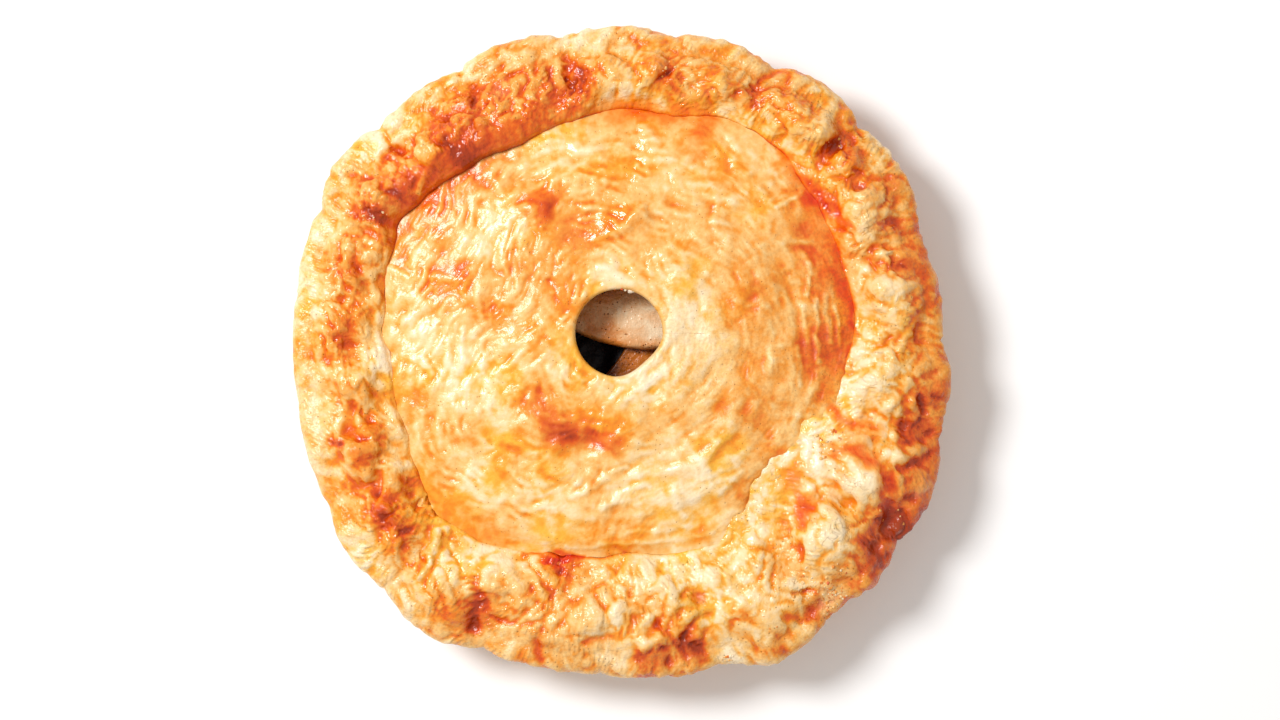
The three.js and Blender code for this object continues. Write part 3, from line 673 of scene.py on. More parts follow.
    def kept(self, name):
        """What a piece keeps at its points under a name, read by its material."""
        return self.node("ShaderNodeAttribute", {"attribute_name": name}, {}, "Fac")

    def coloured(self, stops):
        """The colour that a ramp of stops gives for this number."""
        return self.node("ShaderNodeValToRGB", {"stops": stops}, {"Fac": self})

    def mixed(self, share, other, way="MIX"):
        """This colour with a share of another colour, laid over it or as a clear film on it."""
        settings = {"data_type": "RGBA", "clamp_factor": True, "blend_type": way}
        return self.node("ShaderNodeMix", settings, {0: share, 6: self, 7: other}, 2)


def shape_by_nodes(piece, name, inputs, finish, build):
    """Shapes a piece by a Geometry Nodes tree with named inputs, and keeps the result as a plain mesh."""
    tree = bpy.data.node_groups.new(name, "GeometryNodeTree")
    tree.interface.new_socket("Geometry", in_out="INPUT", socket_type="NodeSocketGeometry")
    number = {"in_out": "INPUT", "socket_type": "NodeSocketFloat"}
    sockets = [tree.interface.new_socket(label, **number) for label in inputs]
    tree.interface.new_socket("Geometry", in_out="OUTPUT", socket_type="NodeSocketGeometry")
    entry = tree.nodes.new("NodeGroupInput")
    wires = {label: Wire(tree, entry.outputs[label]) for label in inputs}
    shaped = build(Wire(tree, entry.outputs["Geometry"]), wires)
    realized = shaped.node("GeometryNodeRealizeInstances", {}, {"Geometry": shaped})
    finished = shaped.node("GeometryNodeSetMaterial", {}, {"Geometry": realized, "Material": finish})
    tree.links.new(finished.socket, tree.nodes.new("NodeGroupOutput").inputs["Geometry"])
    modifier = piece.modifiers.new(name, "NODES")
    modifier.node_group = tree
    for socket, value in zip(sockets, inputs.values()):
        modifier[socket.identifier] = float(value)
    graph = bpy.context.evaluated_depsgraph_get()
    shown = piece.evaluated_get(graph)
    plain = bpy.data.meshes.new_from_object(shown, preserve_all_data_layers=True, depsgraph=graph)
    piece.modifiers.remove(modifier)
    piece.data = plain
    plain.shade_smooth()


def tint(code):
    """A colour written as red, green and blue in hexadecimal, in the linear form that shaders use."""
    parts = [int(code[k:k + 2], 16) / 255 for k in (1, 3, 5)]
    return tuple(p / 12.92 if p < 0.04045 else ((p + 0.055) / 1.055) ** 2.4 for p in parts) + (1.0,)


BAKE_COLOURS = [
    (0.00, tint("#f8ead2")),
    (0.20, tint("#f6dcb0")),
    (0.38, tint("#f0be74")),
    (0.54, tint("#e99839")),
    (0.70, tint("#de6d1a")),
    (0.86, tint("#ca4d0c")),
    (1.00, tint("#a23809")),
]
GLAZE_FILM = (1.0, 0.80, 0.20, 1.0)
SYRUP_FILM = (1.0, 0.56, 0.14, 1.0)
JUICE_FILM = (0.86, 0.30, 0.10, 1.0)
FLOUR_COLOUR = tint("#f5d5a2")
CRACK_COLOUR = tint("#844416")
PASTRY_SHINE = 0.5


def new_finish(name, shine):
    """A new material, its shader, and the place on the piece in millimetres that its patterns follow."""
    material = bpy.data.materials.new(name)
    material.use_nodes = True
    shader = material.node_tree.nodes["Principled BSDF"]
    shader.inputs["Specular IOR Level"].default_value = shine
    place = Wire(material.node_tree).node("ShaderNodeTexCoord", {}, {}, "Object").scaled(1 / MM)
    return material, shader, place


def feed_finish(shader, colour, roughness, grain, grain_depth):
    """Gives a shader its colour, its roughness and a fine grain, whose depth is in millimetres."""
    bumps = {"Strength": 0.8, "Distance": grain_depth * MM, "Height": grain}
    normal = grain.node("ShaderNodeBump", {}, bumps)
    for name, wire in {"Base Color": colour, "Roughness": roughness, "Normal": normal}.items():
        wire.tree.links.new(wire.socket, shader.inputs[name])


def baked_pastry(name, patch_pitch, mottling, roughest, grain_depth):
    """Pastry coloured by how far it baked, with egg glaze, dry floury patches and stains of juice."""
    material, shader, place = new_finish(name, PASTRY_SHINE)
    mottle = place.noise(patch_pitch, 3.0, 0.6) + 0.3 * place.noise(2.2 * patch_pitch, 1.0, 0.5) - 0.65
    speckle = place.noise(4.2, 2.0, 0.5) - 0.5
    freckle = place.noise(1.4, 2.0) - 0.5
    brushed = place.noise(24, 1.0, 0.6) - 0.5
    flour = (place.kept("flour") + 0.9 * mottle).between(0.1, 1.1)
    bake = place.kept("bake") + mottling * (mottle + 0.5 * speckle + 0.35 * freckle) - 0.20 * flour
    glaze = (place.kept("glaze") + 3.8 * mottle + 1.1 * speckle + 3.2 * brushed) * (1 - 0.6 * flour)
    juice = place.kept("juice") + 0.7 * mottle
    pores = (1 - place.cells(2.1).between(0.05, 0.16)) * place.noise(8, 1.0).between(0.45, 0.6)
    cracks = (1 - place.billows(6, 2.0, 0.8).between(0.0, 0.10)) * flour
    cracks = cracks * place.noise(7, 1.0).between(0.38, 0.58)
    specks = place.noise(1.2, 2.0, 0.4).between(0.46, 0.62) * (1 - place.kept("wash"))
    colour = bake.coloured(BAKE_COLOURS)
    colour = colour.mixed(glaze, GLAZE_FILM, "MULTIPLY")
    colour = colour.mixed(0.35 * flour, FLOUR_COLOUR)
    colour = colour.mixed(0.95 * juice.between(0.05, 0.8), SYRUP_FILM, "MULTIPLY")
    colour = colour.mixed(0.95 * juice.between(0.55, 1.3), JUICE_FILM, "MULTIPLY")
    colour = colour.mixed(0.45 * pores + 0.16 * cracks + 0.32 * specks, CRACK_COLOUR)
    roughness = roughest - 0.30 * place.kept("wash") - 0.3 * mottle
    roughness = roughness + 0.12 * flour - 0.12 * juice.between(0.2, 0.9)
    shrunk = place.waves(2.1, place.kept("wrinkle_turn")) * place.noise(9, 1.0).between(0.42, 0.62)
    grain = 0.4 * place.noise(1.1, 2.0) + 0.6 * place.noise(3.2, 2.0) + 0.7 * shrunk
    grain = grain - 0.5 * pores - 0.4 * cracks
    feed_finish(shader, colour, roughness, grain, grain_depth)
    return material


def raised_with_painted_shade(geometry, size, height, hollow):
    """Raises a crust, paints shade in its hollows and light on its ridges, and pools glaze in hollows."""
    darker = geometry.stored("bake", geometry.attribute("bake") + size["Hollow browning"] * hollow)
    glazed = darker.stored("glaze", geometry.attribute("glaze") + size["Hollow glaze"] * hollow)
    return glazed.raised(height)


def pinched_pastry(geometry, size):
    """Soft mounds, folds and wrinkles that run across them, and crags where it browned."""
    place = geometry.point_place()
    seed = size["Seed"]
    mounds = place.noise(24, 1.0, 0.7, seed) - 0.5
    turn = geometry.attribute("wrinkle_turn") + 2.4 * (place.noise(20, 1.0, 0.0, seed + 3) - 0.5)
    drawn = place.wandered(14, 4, seed)
    rolls = (drawn.waves(2 * size["Fold pitch"], turn) - 0.5).size()
    folds = (rolls - 0.15) * place.noise(22, 0.0, 0.0, seed + 2).between(0.30, 0.50)
    draped = place.noise(16, 0.0, 0.0, seed + 5).between(0.38, 0.56)
    drapes = (drawn.waves(size["Drape pitch"], turn) - 0.5) * draped
    wrinkled = place.noise(11, 0.0, 0.0, seed + 7).between(0.40, 0.58)
    wrinkles = (drawn.waves(size["Wrinkle pitch"], turn) - 0.5) * wrinkled
    lumps = place.billows(12, 0.0, 0.9, seed + 4) - 0.25
    shape = size["Mound height"] * mounds + size["Fold height"] * folds + size["Drape height"] * drapes
    shape = shape + size["Wrinkle height"] * wrinkles + size["Lump height"] * lumps
    grit = 1.4 * lumps + 1.4 * place.billows(3.4, 0.0, 0.6, seed + 6) - 0.35
    grit = grit * geometry.attribute("crags")
    height = shape * geometry.attribute("relief") + size["Grit height"] * grit
    kept = geometry.stored("height", height - geometry.attribute("creased"))
    height = geometry.attribute("height")
    whole = height + geometry.attribute("form")
    hollow = height.blurred(4) - height + 0.6 * (whole.blurred(24) - whole)
    hollow = hollow.math("MAXIMUM", -0.2, hollow / (1 + 0.6 * hollow.size()))
    return raised_with_painted_shade(kept, size, height, hollow)


BOX_MARGIN = 1.5


def held_in_box(piece):
    """Presses a piece's points back softly where relief took them near the sides of the solids' box."""
    low, high = np.array(cad_box) / MM
    low[2] = -BOX_MARGIN
    points = points_of(piece)
    over = np.maximum(points - (high - BOX_MARGIN), 0)
    under = np.maximum(low + BOX_MARGIN - points, 0)
    points += BOX_MARGIN * np.tanh(over / BOX_MARGIN) - over
    points += under - BOX_MARGIN * np.tanh(under / BOX_MARGIN)
    piece.data.vertices.foreach_set("co", (points * MM).astype(np.float32).ravel())
    piece.data.update()


RIM_INPUTS = {
    "Mound height": 3.6,
    "Fold height": 3.4,
    "Fold pitch": 11,
    "Drape height": 1.7,
    "Drape pitch": 7,
    "Wrinkle height": 1.1,
    "Wrinkle pitch": 3.4,
    "Lump height": 2.2,
    "Grit height": 1.5,
    # This darkens the hollows and lightens the ridges: painted shade and painted light.
    "Hollow browning": 0.32,
    "Hollow glaze": 2.0,
    "Seed": 4,
}
rim_finish = baked_pastry("rim_pastry", patch_pitch=9, mottling=0.44, roughest=0.43, grain_depth=1.1)
shape_by_nodes(pastry_case, "pinched_rim", RIM_INPUTS, rim_finish, pinched_pastry)
held_in_box(pastry_case)
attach(pastry_case, "root")
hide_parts("bottom_crust")


# The filling is fruit stewed in its dark syrup. It fills the case up to the lid. Under the steam
# vent it cooked down to a hollow, which is deepest at the front. Its colour is almost black: dark
# syrup, and painted shade for the deep gap under the vent.
VENT_CENTRE = (-1, 7.3)
FILLING_GAP = 0.7
FILLING_SECTORS = 240
HOLLOW_FLOOR_RADIUS = 40
HOLLOW_MOUTH_RADIUS = 50
HOLLOW_FRONT_Z, HOLLOW_BACK_Z = 12.5, 18.3
HOLLOW_STEP = (12, 18)
HOLLOW_MIDDLE = 0.02
MOUTH_ROWS, FLOOR_ROWS = 7, 56
PIT_X, PIT_Y, PIT_RADIUS, PIT_DEPTH = -11, -2, 11, 4


def vent_to_circle(angle, radius):
    """How far a ray from the vent's centre runs to a circle round the pie's axis."""
    x, y = VENT_CENTRE
    along = x * np.cos(np.radians(angle)) + y * np.sin(np.radians(angle))
    return -along + np.sqrt(along ** 2 + radius ** 2 - x ** 2 - y ** 2)


def from_vent(angle, distance):
    return polar(angle, distance, 0.0) + np.array([*VENT_CENTRE, 0.0])


def hollow_floor(x, y):
    pit = PIT_DEPTH * (1 - smoothstep(np.hypot(x - PIT_X, y - PIT_Y), 0, PIT_RADIUS))
    return blend(HOLLOW_FRONT_Z, HOLLOW_BACK_Z, smoothstep(y, *HOLLOW_STEP)) - pit


angles = even_angles(FILLING_SECTORS)
filling_bottom = CASE_THICKNESS + FILLING_GAP
filling_drop = LID_THICKNESS + 2 * FILLING_GAP
shoulder_radius = inner_wall_radius(RIM_UNDER_Z) - 2 * FILLING_GAP
bottom_radii = np.array([[BASE_RADIUS / 2], [inner_wall_radius(filling_bottom) - 2 * FILLING_GAP]])
shoulder_row = on_surface(polar(angles, np.array([[shoulder_radius]]), 0.0), lid_dome, -filling_drop)
shoulder_row[..., 2] = np.minimum(shoulder_row[..., 2], RIM_UNDER_Z)
mouth_reach = vent_to_circle(angles, shoulder_radius - 1)
mouth_radii = blend(mouth_reach, HOLLOW_MOUTH_RADIUS, np.linspace(0, 1, MOUTH_ROWS)[:, None])
floor_radii = HOLLOW_FLOOR_RADIUS * np.linspace(1, HOLLOW_MIDDLE, FLOOR_ROWS)[:, None]
filling_blocks = [
    polar(angles, bottom_radii, filling_bottom),
    shoulder_row,
    on_surface(from_vent(angles, mouth_radii), lid_dome, -filling_drop),
    on_surface(from_vent(angles, floor_radii), hollow_floor),
]
fruit_filling = ringed_piece("fruit_filling", np.concatenate(filling_blocks), capped=True)
x, y, z = points_of(fruit_filling).T
in_hollow = 1 - smoothstep(np.hypot(x - VENT_CENTRE[0], y - VENT_CENTRE[1]), 30, HOLLOW_FLOOR_RADIUS)
keep_attribute(fruit_filling, "relief", in_hollow * (z > filling_bottom + 1))
keep_attribute(fruit_filling, "soaked", np.full_like(x, 0.5))


def stewed_fruit(geometry, size):
    """Soft lumps of cooked fruit, sunk below the filling's surface, and the syrup between them."""
    place = geometry.point_place()
    lumps = place.cells(size["Lump pitch"], 0.5).between(0.15, 0.8)
    pulp = place.noise(2.4, 2.0, 0.4, size["Seed"])
    sunk = size["Lump depth"] * lumps + 0.4 * pulp
    return geometry.raised(-1 * sunk * geometry.attribute("relief"))


FRUIT_SHINE = 0.4
FRUIT_GRAIN_DEPTH = 0.5
# Almost black: dark syrup, and painted shade for the deep gap under the vent.
SYRUP_AND_SHADE_TONES = [(0.0, tint("#20101a")), (0.5, tint("#120812")), (1.0, tint("#34180e"))]


def fruit_finish(name, tones, speck_share, driest):
    """Cooked fruit: pale flesh that took up syrup, sprinkled with ground spice, wet all over."""
    material, shader, place = new_finish(name, FRUIT_SHINE)
    cloud = place.noise(6, 3.0, 0.8) - 0.5
    pulp = place.noise(1.5, 2.0)
    specks = (1 - place.cells(1.4).between(0.14, 0.26)) * place.noise(5, 1.0).between(0.48, 0.6)
    tone = place.kept("soaked") + 0.8 * cloud + 0.15 * (pulp - 0.5) + speck_share * specks
    roughness = driest + 0.3 * cloud + 0.15 * specks
    grain = pulp + 0.6 * place.noise(4, 1.0) + 0.4 * specks
    feed_finish(shader, tone.coloured(tones), roughness, grain, FRUIT_GRAIN_DEPTH)
    return material


FILLING_INPUTS = {"Lump pitch": 9, "Lump depth": 1.6, "Seed": 6}
syrup_and_shade_finish = fruit_finish("cooked_filling", SYRUP_AND_SHADE_TONES, speck_share=0.3, driest=0.5)
shape_by_nodes(fruit_filling, "stewed_fruit", FILLING_INPUTS, syrup_and_shade_finish, stewed_fruit)
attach(fruit_filling, "root")
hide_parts("filling")


# Two peeled slices of fruit lie in the hollow under the vent. Each is a crescent with a rounded
# edge, soft and wet, sprinkled with ground spice, and stained by the syrup towards its lower side.
SLICE_SECTORS = 96
SLICE_BEVEL = 0.3


def curve_points(start, pull, end, count):
    """Points along a quadratic curve, without its last point."""
    t = (np.arange(count) / count)[:, None]
    return (1 - t) ** 2 * np.array(start) + 2 * t * (1 - t) * np.array(pull) + t ** 2 * np.array(end)


def slice_rings(length, width, thickness):
    """A crescent slice about its own middle: its lower side, its rounded edge, then its upper side."""
    bevel = SLICE_BEVEL * thickness
    half, deep = length / 2 - bevel, width - 2 * bevel
    curves = [
        curve_points((-half, 0), (0, 0.28 * deep), (half, 0), SLICE_SECTORS // 3),
        curve_points((half, 0), (1.05 * half, deep), (0, deep), SLICE_SECTORS // 3),
        curve_points((0, deep), (-1.05 * half, deep), (-half, 0), SLICE_SECTORS // 3),
    ]
    outline = np.concatenate(curves) - np.array([0, deep / 2])
    along = np.roll(outline, -1, axis=0) - np.roll(outline, 1, axis=0)
    outward = np.stack([along[:, 1], -along[:, 0]], axis=-1) / np.linalg.norm(along, axis=1)[:, None]
    rings = []
    for share in (0.1, 0.3, 0.5, 0.7, 0.87):
        rings.append((share * outline, -1.0))
    for turn in np.radians(np.linspace(-90, 90, 13)):
        rings.append((outline + bevel * math.cos(turn) * outward, math.sin(turn)))
    for share in (0.93, 0.86, 0.79, 0.72, 0.65, 0.58, 0.5, 0.42, 0.34, 0.26, 0.18, 0.1):
        rings.append((share * outline, 1.0))
    flat = np.stack([ring for ring, _ in rings])
    levels = np.array([level for _, level in rings])[:, None, None]
    heights = np.broadcast_to(levels, flat.shape[:2] + (1,))
    return np.concatenate([flat, heights * thickness / 2], axis=-1)


def cooked_slice(geometry, size):
    """Soft dents, and fibres that run along the slice."""
    place = geometry.point_place()
    dents = place.noise(7, 1.0, 0.4, size["Seed"])
    fibres = place.wandered(8, 1.5, size["Seed"]).waves(2.2, size["Fibre turn"]) - 0.5
    return geometry.raised(-1 * size["Dent depth"] * dents + size["Fibre height"] * fibres)


FLESH_TONES = [
    (0.00, tint("#fadcb4")),
    (0.28, tint("#ecb27a")),
    (0.52, tint("#dc8840")),
    (0.78, tint("#c66c1c")),
    (1.00, tint("#74380c")),
]
LOWER_SLICE = {
    "length": 38, "width": 24, "thickness": 4.4, "middle": (4.2, -9.6, 16), "turn": -127,
    "soaking": 0.74, "fibre_height": 0.12,
}
UPPER_SLICE = {
    "length": 66, "width": 30, "thickness": 7.8, "middle": (1.1, 16.4, 22.75), "turn": 170,
    "soaking": 0.1, "fibre_height": 0.35,
}
flesh_finish = fruit_finish("fruit_flesh", FLESH_TONES, speck_share=0.7, driest=0.26)
for slice_name, fruit in (("lower", LOWER_SLICE), ("upper", UPPER_SLICE)):
    middle = fruit["middle"]
    half_thickness = fruit["thickness"] / 2
    turn = math.radians(fruit["turn"])
    c, s = math.cos(turn), math.sin(turn)
    flat_slice = slice_rings(fruit["length"], fruit["width"], fruit["thickness"])
    turned = flat_slice @ np.array([[c, s, 0], [-s, c, 0], [0, 0, 1]]) + np.array(middle)
    fruit_piece = ringed_piece("fruit_" + slice_name, turned, capped=True)
    x, y, z = points_of(fruit_piece).T
    # Darker towards the lower side, the front edge, the back and the left part. The left part is painted
    # shade, where the vent's left edge shades the fruit.
    stained_and_shaded = 0.45 * (1 - smoothstep(z - middle[2], -half_thickness, half_thickness))
    stained_and_shaded += 0.3 * (1 - smoothstep(y, middle[1] - 14, middle[1] - 9))
    stained_and_shaded += 0.36 * (1 - smoothstep(x, -6, 5)) + 0.3 * smoothstep(y, 17, 24)
    keep_attribute(fruit_piece, "soaked", fruit["soaking"] + stained_and_shaded)
    slice_inputs = {
        "Dent depth": 0.8,
        "Fibre height": fruit["fibre_height"],
        "Fibre turn": math.radians(fruit["turn"] + 90),
        "Seed": 3,
    }
    shape_by_nodes(fruit_piece, "cooked_" + slice_name, slice_inputs, flesh_finish, cooked_slice)
    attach(fruit_piece, "root")
    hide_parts("fruit_slice_" + slice_name)


# The top crust is a rolled disc of the same pastry, domed over the fruit, with the steam vent cut
# by a round cutter. It shrank and wrinkled as it baked, and the egg wash on it shines.
VENT_RADIUS = 17.2
VENT_FLAT_ANGLE = -48
VENT_FLAT_DEPTH = 2
VENT_FLAT_HALF_WIDTH = 50
VENT_ROUND = 2
LID_RIPPLE = 0.9
LID_RIPPLE_PITCH = 17
LID_RELIEF_FADE = (0.62, 0.85)
LID_SHOWN_SHARE = 1.09
LID_SECTORS = 660
UNDER_ROWS, LID_ROWS, ROUND_ROWS = 5, 118, 5
SEAM_GROOVE = 1.2
LID_SWELLINGS = [
    [-13, -35, 10, -2.4], [-33, 58, 12, 1.3], [6, 53, 9, 1.6], [-62, 22, 22, 1.2], [38, -40, 26, 1.4],
    [52, 40, 24, 1.1], [-45, -42, 20, -1.0],
]


def lid_top(x, y):
    ripple = LID_RIPPLE * noise(x / LID_RIPPLE_PITCH, y / LID_RIPPLE_PITCH, 7)
    share = lid_share(x, y)
    open_share = 1 - smoothstep(share, *LID_RELIEF_FADE)
    groove = SEAM_GROOVE * seam_gape(np.degrees(np.arctan2(y, x))) * smoothstep(share, 0.95, 1.0)
    return lid_dome(x, y) + (ripple + swellings(x, y, LID_SWELLINGS)) * open_share - groove


def vent_radius(angle):
    return VENT_RADIUS - VENT_FLAT_DEPTH * bump_at(angle, VENT_FLAT_ANGLE, VENT_FLAT_HALF_WIDTH)


angles = even_angles(LID_SECTORS)
turn = np.radians(angles)
edge, outside = vent_radius(angles), vent_to_circle(angles, LID_RADIUS)
dome_reach = 1 / lid_share(DOME_CENTRE[0] + np.cos(turn), DOME_CENTRE[1] + np.sin(turn))
shown_to = np.minimum(LID_SHOWN_SHARE * dome_reach, outside - 1)
under_spots = from_vent(angles, blend(edge, outside, np.linspace(0, 1, UNDER_ROWS)[:, None]))
tucked_spots = from_vent(angles, blend(outside, shown_to, np.array([[0.0], [0.5]])))
top_radii = blend(shown_to, edge + VENT_ROUND, np.linspace(0, 1, LID_ROWS)[:, None])
top_spots = np.concatenate([tucked_spots, from_vent(angles, top_radii)])
round_turns = np.radians(np.linspace(0, 90, ROUND_ROWS)[1:, None])
round_spots = from_vent(angles, edge + VENT_ROUND * (1 - np.sin(round_turns)))
vent_depths = np.array([[0.7], [1.6], [2.6]])
vent_spots = from_vent(angles, np.tile(edge, (len(vent_depths), 1)))
lid_blocks = [
    on_surface(under_spots, lid_dome, -LID_THICKNESS),
    on_surface(top_spots, lid_top),
    on_surface(round_spots, lid_top, VENT_ROUND * (np.cos(round_turns) - 1)),
    on_surface(vent_spots, lid_top, -VENT_ROUND - vent_depths),
]
pastry_lid = ringed_piece("pastry_lid", np.concatenate(lid_blocks), capped=False)

# Places on the lid, read from the photograph: where it browned or stayed pale, the dark smudge by
# the vent, and low ridges. The browned spots at the right edge, near x 79, are also painted shade
# where the lid falls away from the light. LID_TURNS are [angle, half width, browning] along the
# lid's edge.
LID_BROWNED_AND_SHADED = [
    [-32, 60, 12, 0.34], [-30, 56, 9, 0.14], [-17, 49, 14, 0.20], [-64, 34, 12, 0.20],
    [-44, 35, 10, 0.20], [-24, -29, 14, 0.26], [-36, -21, 14, 0.22], [-32, -1, 12, 0.12],
    [79, 30, 16, 0.16], [67, -47, 10, 0.22], [31, -77, 14, 0.14], [49, -59, 12, 0.14],
    [-72, 20, 10, 0.14], [-60, -33, 11, 0.14], [79, 2, 16, 0.16], [74, -22, 14, 0.10],
    [-80, -20, 9, 0.14], [-8, -54, 9, 0.12], [30, 80, 10, 0.16], [73, 46, 12, 0.12], [42, 67, 13, 0.10],
    [-52, 12, 13, 0.12], [-45, -45, 12, 0.12],
]
LID_SMUDGE = [
    [-14, -35, -4, -37, 5.5, 0.42], [-26, -32, -14, -35, 6.5, 0.28], [-12, -36, -7, -36.5, 3.5, 0.52],
]
# The pale spots at 7, -52 below the vent and at -57, -13 on the left are also painted highlight, where
# the glossy wrinkles catch the light.
LID_PALE_AND_SHEEN = [
    [-3, 30, 16, 0.14], [7, -14, 18, 0.16], [7, -52, 18, 0.14], [-57, -13, 18, 0.12],
    [-53, -52, 15, 0.12], [-60, 40, 12, 0.10], [30, 12, 20, 0.08], [42, -42, 22, 0.12],
    [50, 53, 18, 0.08], [-80, 40, 9, 0.12],
]
LID_TURNS = [
    [28, 20, 0.19], [68, 20, 0.09], [88, 14, 0.08], [110, 18, -0.08], [140, 30, 0.24], [170, 16, -0.12],
    [230, 18, 0.08], [250, 14, -0.05], [318, 28, 0.08], [352, 20, 0.17],
]
LID_RIDGES = [
    [-93, 33, -84, 30, 2.6, 0.4], [-84, 30, -60, 28, 2.6, 0.3], [-60, 28, -40, 29, 2.4, 0.2],
    [-3, 46, 9, 56, 3.4, 0.9], [-10, 44, -3, 46, 2.4, 0.5], [9, 56, 22, 55, 2.6, 0.5],
    [61, 57, 71, 63, 1.8, 0.5], [74, 34, 73, 23, 2.0, 0.6], [72, 18, 74, 4, 2.0, 0.6],
    [81, 22, 82, 4, 2.0, 0.6], [77, 20, 78, -4, 1.8, 0.6], [85, 18, 86, 2, 1.6, 0.5],
    [70, 2, 71, -14, 2.0, 0.5], [-20, -58, 2, -46, 2.6, 0.7], [-8, -62, 10, -52, 2.6, 0.6],
    [-22, -77, 8, -76, 1.8, 0.35], [8, -76, 36, -72, 1.8, 0.35], [2, -72, 30, -69, 1.8, 0.3],
]

# Where each point of the lid lies, its relief, and the direction that its wrinkles run in. Some run
# round the vent: at the ring radius they are a ring length long and a ring pitch apart.
RING_RADIUS, RING_LENGTH, RING_PITCH = 62, 24, 7.5
x, y, _ = points_of(pastry_lid).T
from_middle = np.hypot(x - VENT_CENTRE[0], y - VENT_CENTRE[1])
angle = np.degrees(np.arctan2(y - VENT_CENTRE[1], x - VENT_CENTRE[0])) % 360
row = np.repeat(np.arange(len(x) // LID_SECTORS), LID_SECTORS)
on_top = (row >= len(under_spots)).astype(float)
share = lid_share(x, y)
relief = on_top * smoothstep(from_middle, VENT_RADIUS, VENT_RADIUS + 4)
relief *= 1 - 0.5 * smoothstep(share, 0.85, 1.0)
keep_attribute(pastry_lid, "relief", relief)
keep_attribute(pastry_lid, "ringed", bump_at(angle, -40, 130))
ring_place = polar(angle, RING_RADIUS / RING_LENGTH, from_middle / RING_PITCH)
keep_attribute(pastry_lid, "ring_place", ring_place)
keep_attribute(pastry_lid, "ridges", strokes(x, y, LID_RIDGES, ragged=0.6) * on_top)
wrinkle_turn = angle - 50 * bump_at(angle, 185, 55) + 80 * bump_at(angle, 258, 30)
wrinkle_turn += 40 * noise(x / 34, y / 34, 38)
keep_attribute(pastry_lid, "wrinkle_turn", np.radians(wrinkle_turn))

# How far each point baked, with painted shade on the lid's right side mixed in, and where glaze,
# juice and the brushed egg lie.
seam_band = smoothstep(share, 0.86, 0.99)
lower_left = seam_band * bump_at(angle, 222, 45)
thinly_brushed = bump_at(angle, 75, 45) + 0.8 * bump_at(angle, 283, 35) + 0.4 * bump_at(angle, 340, 30)
browned = spots(x, y, LID_BROWNED_AND_SHADED)
bake = 0.41 + 0.95 * browned - 1.2 * spots(x, y, LID_PALE_AND_SHEEN) + 0.13 * noise(x / 26, y / 26, 33)
bake += 0.66 * strokes(x, y, LID_SMUDGE, ragged=1.3, spread=1.4) + 0.04 * seam_band
# The right side is darker, painted shade where the lid turns from the light; the left side is a little
# darker too.
bake += 0.05 * bump_at(angle, 5, 60) + 0.03 * bump_at(angle, 180, 80)
bake -= 0.03 * lower_left + 0.03 * thinly_brushed
bake += smoothstep(share, 0.66, 0.86) * bumps_at(angle, LID_TURNS)
keep_attribute(pastry_lid, "bake", bake)
pooled = 0.22 + browned + 0.4 * seam_band + 0.3 * lower_left - 0.5 * thinly_brushed
keep_attribute(pastry_lid, "glaze", on_top * pooled)
keep_attribute(pastry_lid, "flour", np.zeros_like(x))
juice = strokes(x, y, JUICE_RUNS, ragged=1.8, spread=1.3)
keep_attribute(pastry_lid, "juice", juice * on_top)
dry_side = 0.45 * bump_at(angle, -10, 100) + 0.4 * smoothstep(share, 0.72, 0.95) * bump_at(angle, 2, 50)
keep_attribute(pastry_lid, "wash", on_top * (1 - dry_side + 0.25 * bump_at(angle, 85, 45)))


def wrinkled_pastry(geometry, size):
    """Wrinkles that run round the lid or slant across it, over low swellings."""
    place = geometry.point_place()
    seed = size["Seed"]
    turn = geometry.attribute("wrinkle_turn") + 1.6 * (place.noise(14, 1.0, 0.0, seed + 3) - 0.5)
    drawn = place.wandered(12, 3, seed)
    ringed = geometry.attribute("ringed")
    rings = geometry.attribute("ring_place", "FLOAT_VECTOR").noise(1, 0.6, 0.6, seed) - 0.5
    slanting = (drawn.waves(size["Wrinkle pitch"], turn) - 0.5) * (1 - ringed)
    wrinkles = slanting * place.noise(17, 1.0, 0.0, seed + 1).between(0.38, 0.60)
    crinkled = place.noise(12, 1.0, 0.0, seed + 9).between(0.40, 0.60)
    crinkles = (drawn.waves(size["Crinkle pitch"], turn) - 0.5) * crinkled
    puckers = place.noise(4.4, 1.0, 0.7, seed + 7) - 0.5
    rises = place.noise(13, 1.0, 0.8, seed + 5) - 0.5
    shape = size["Wrinkle height"] * wrinkles + size["Ring height"] * rings * ringed
    shape = shape + size["Pucker height"] * puckers * (1 - 0.6 * ringed)
    shape = shape + size["Swelling height"] * rises
    shape = shape + size["Crinkle height"] * crinkles * (1 - 0.7 * ringed)
    kept = geometry.stored("height", shape * geometry.attribute("relief") + geometry.attribute("ridges"))
    height = geometry.attribute("height")
    hollow = height.blurred(5) - height + 0.12 * (height.blurred(30) - height)
    return raised_with_painted_shade(kept, size, height, hollow)


LID_INPUTS = {
    "Wrinkle height": 2.2,
    "Wrinkle pitch": 9,
    "Crinkle height": 1.2,
    "Crinkle pitch": 4.2,
    "Ring height": 4.0,
    "Pucker height": 0.8,
    "Swelling height": 3.2,
    # This darkens the hollows and lightens the ridges: painted shade and painted light.
    "Hollow browning": 0.5,
    "Hollow glaze": 2.0,
    "Seed": 2,
}
lid_finish = baked_pastry("lid_pastry", patch_pitch=11, mottling=0.38, roughest=0.57, grain_depth=0.42)
shape_by_nodes(pastry_lid, "wrinkled_lid", LID_INPUTS, lid_finish, wrinkled_pastry)
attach(pastry_lid, "root")
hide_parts("top_crust")


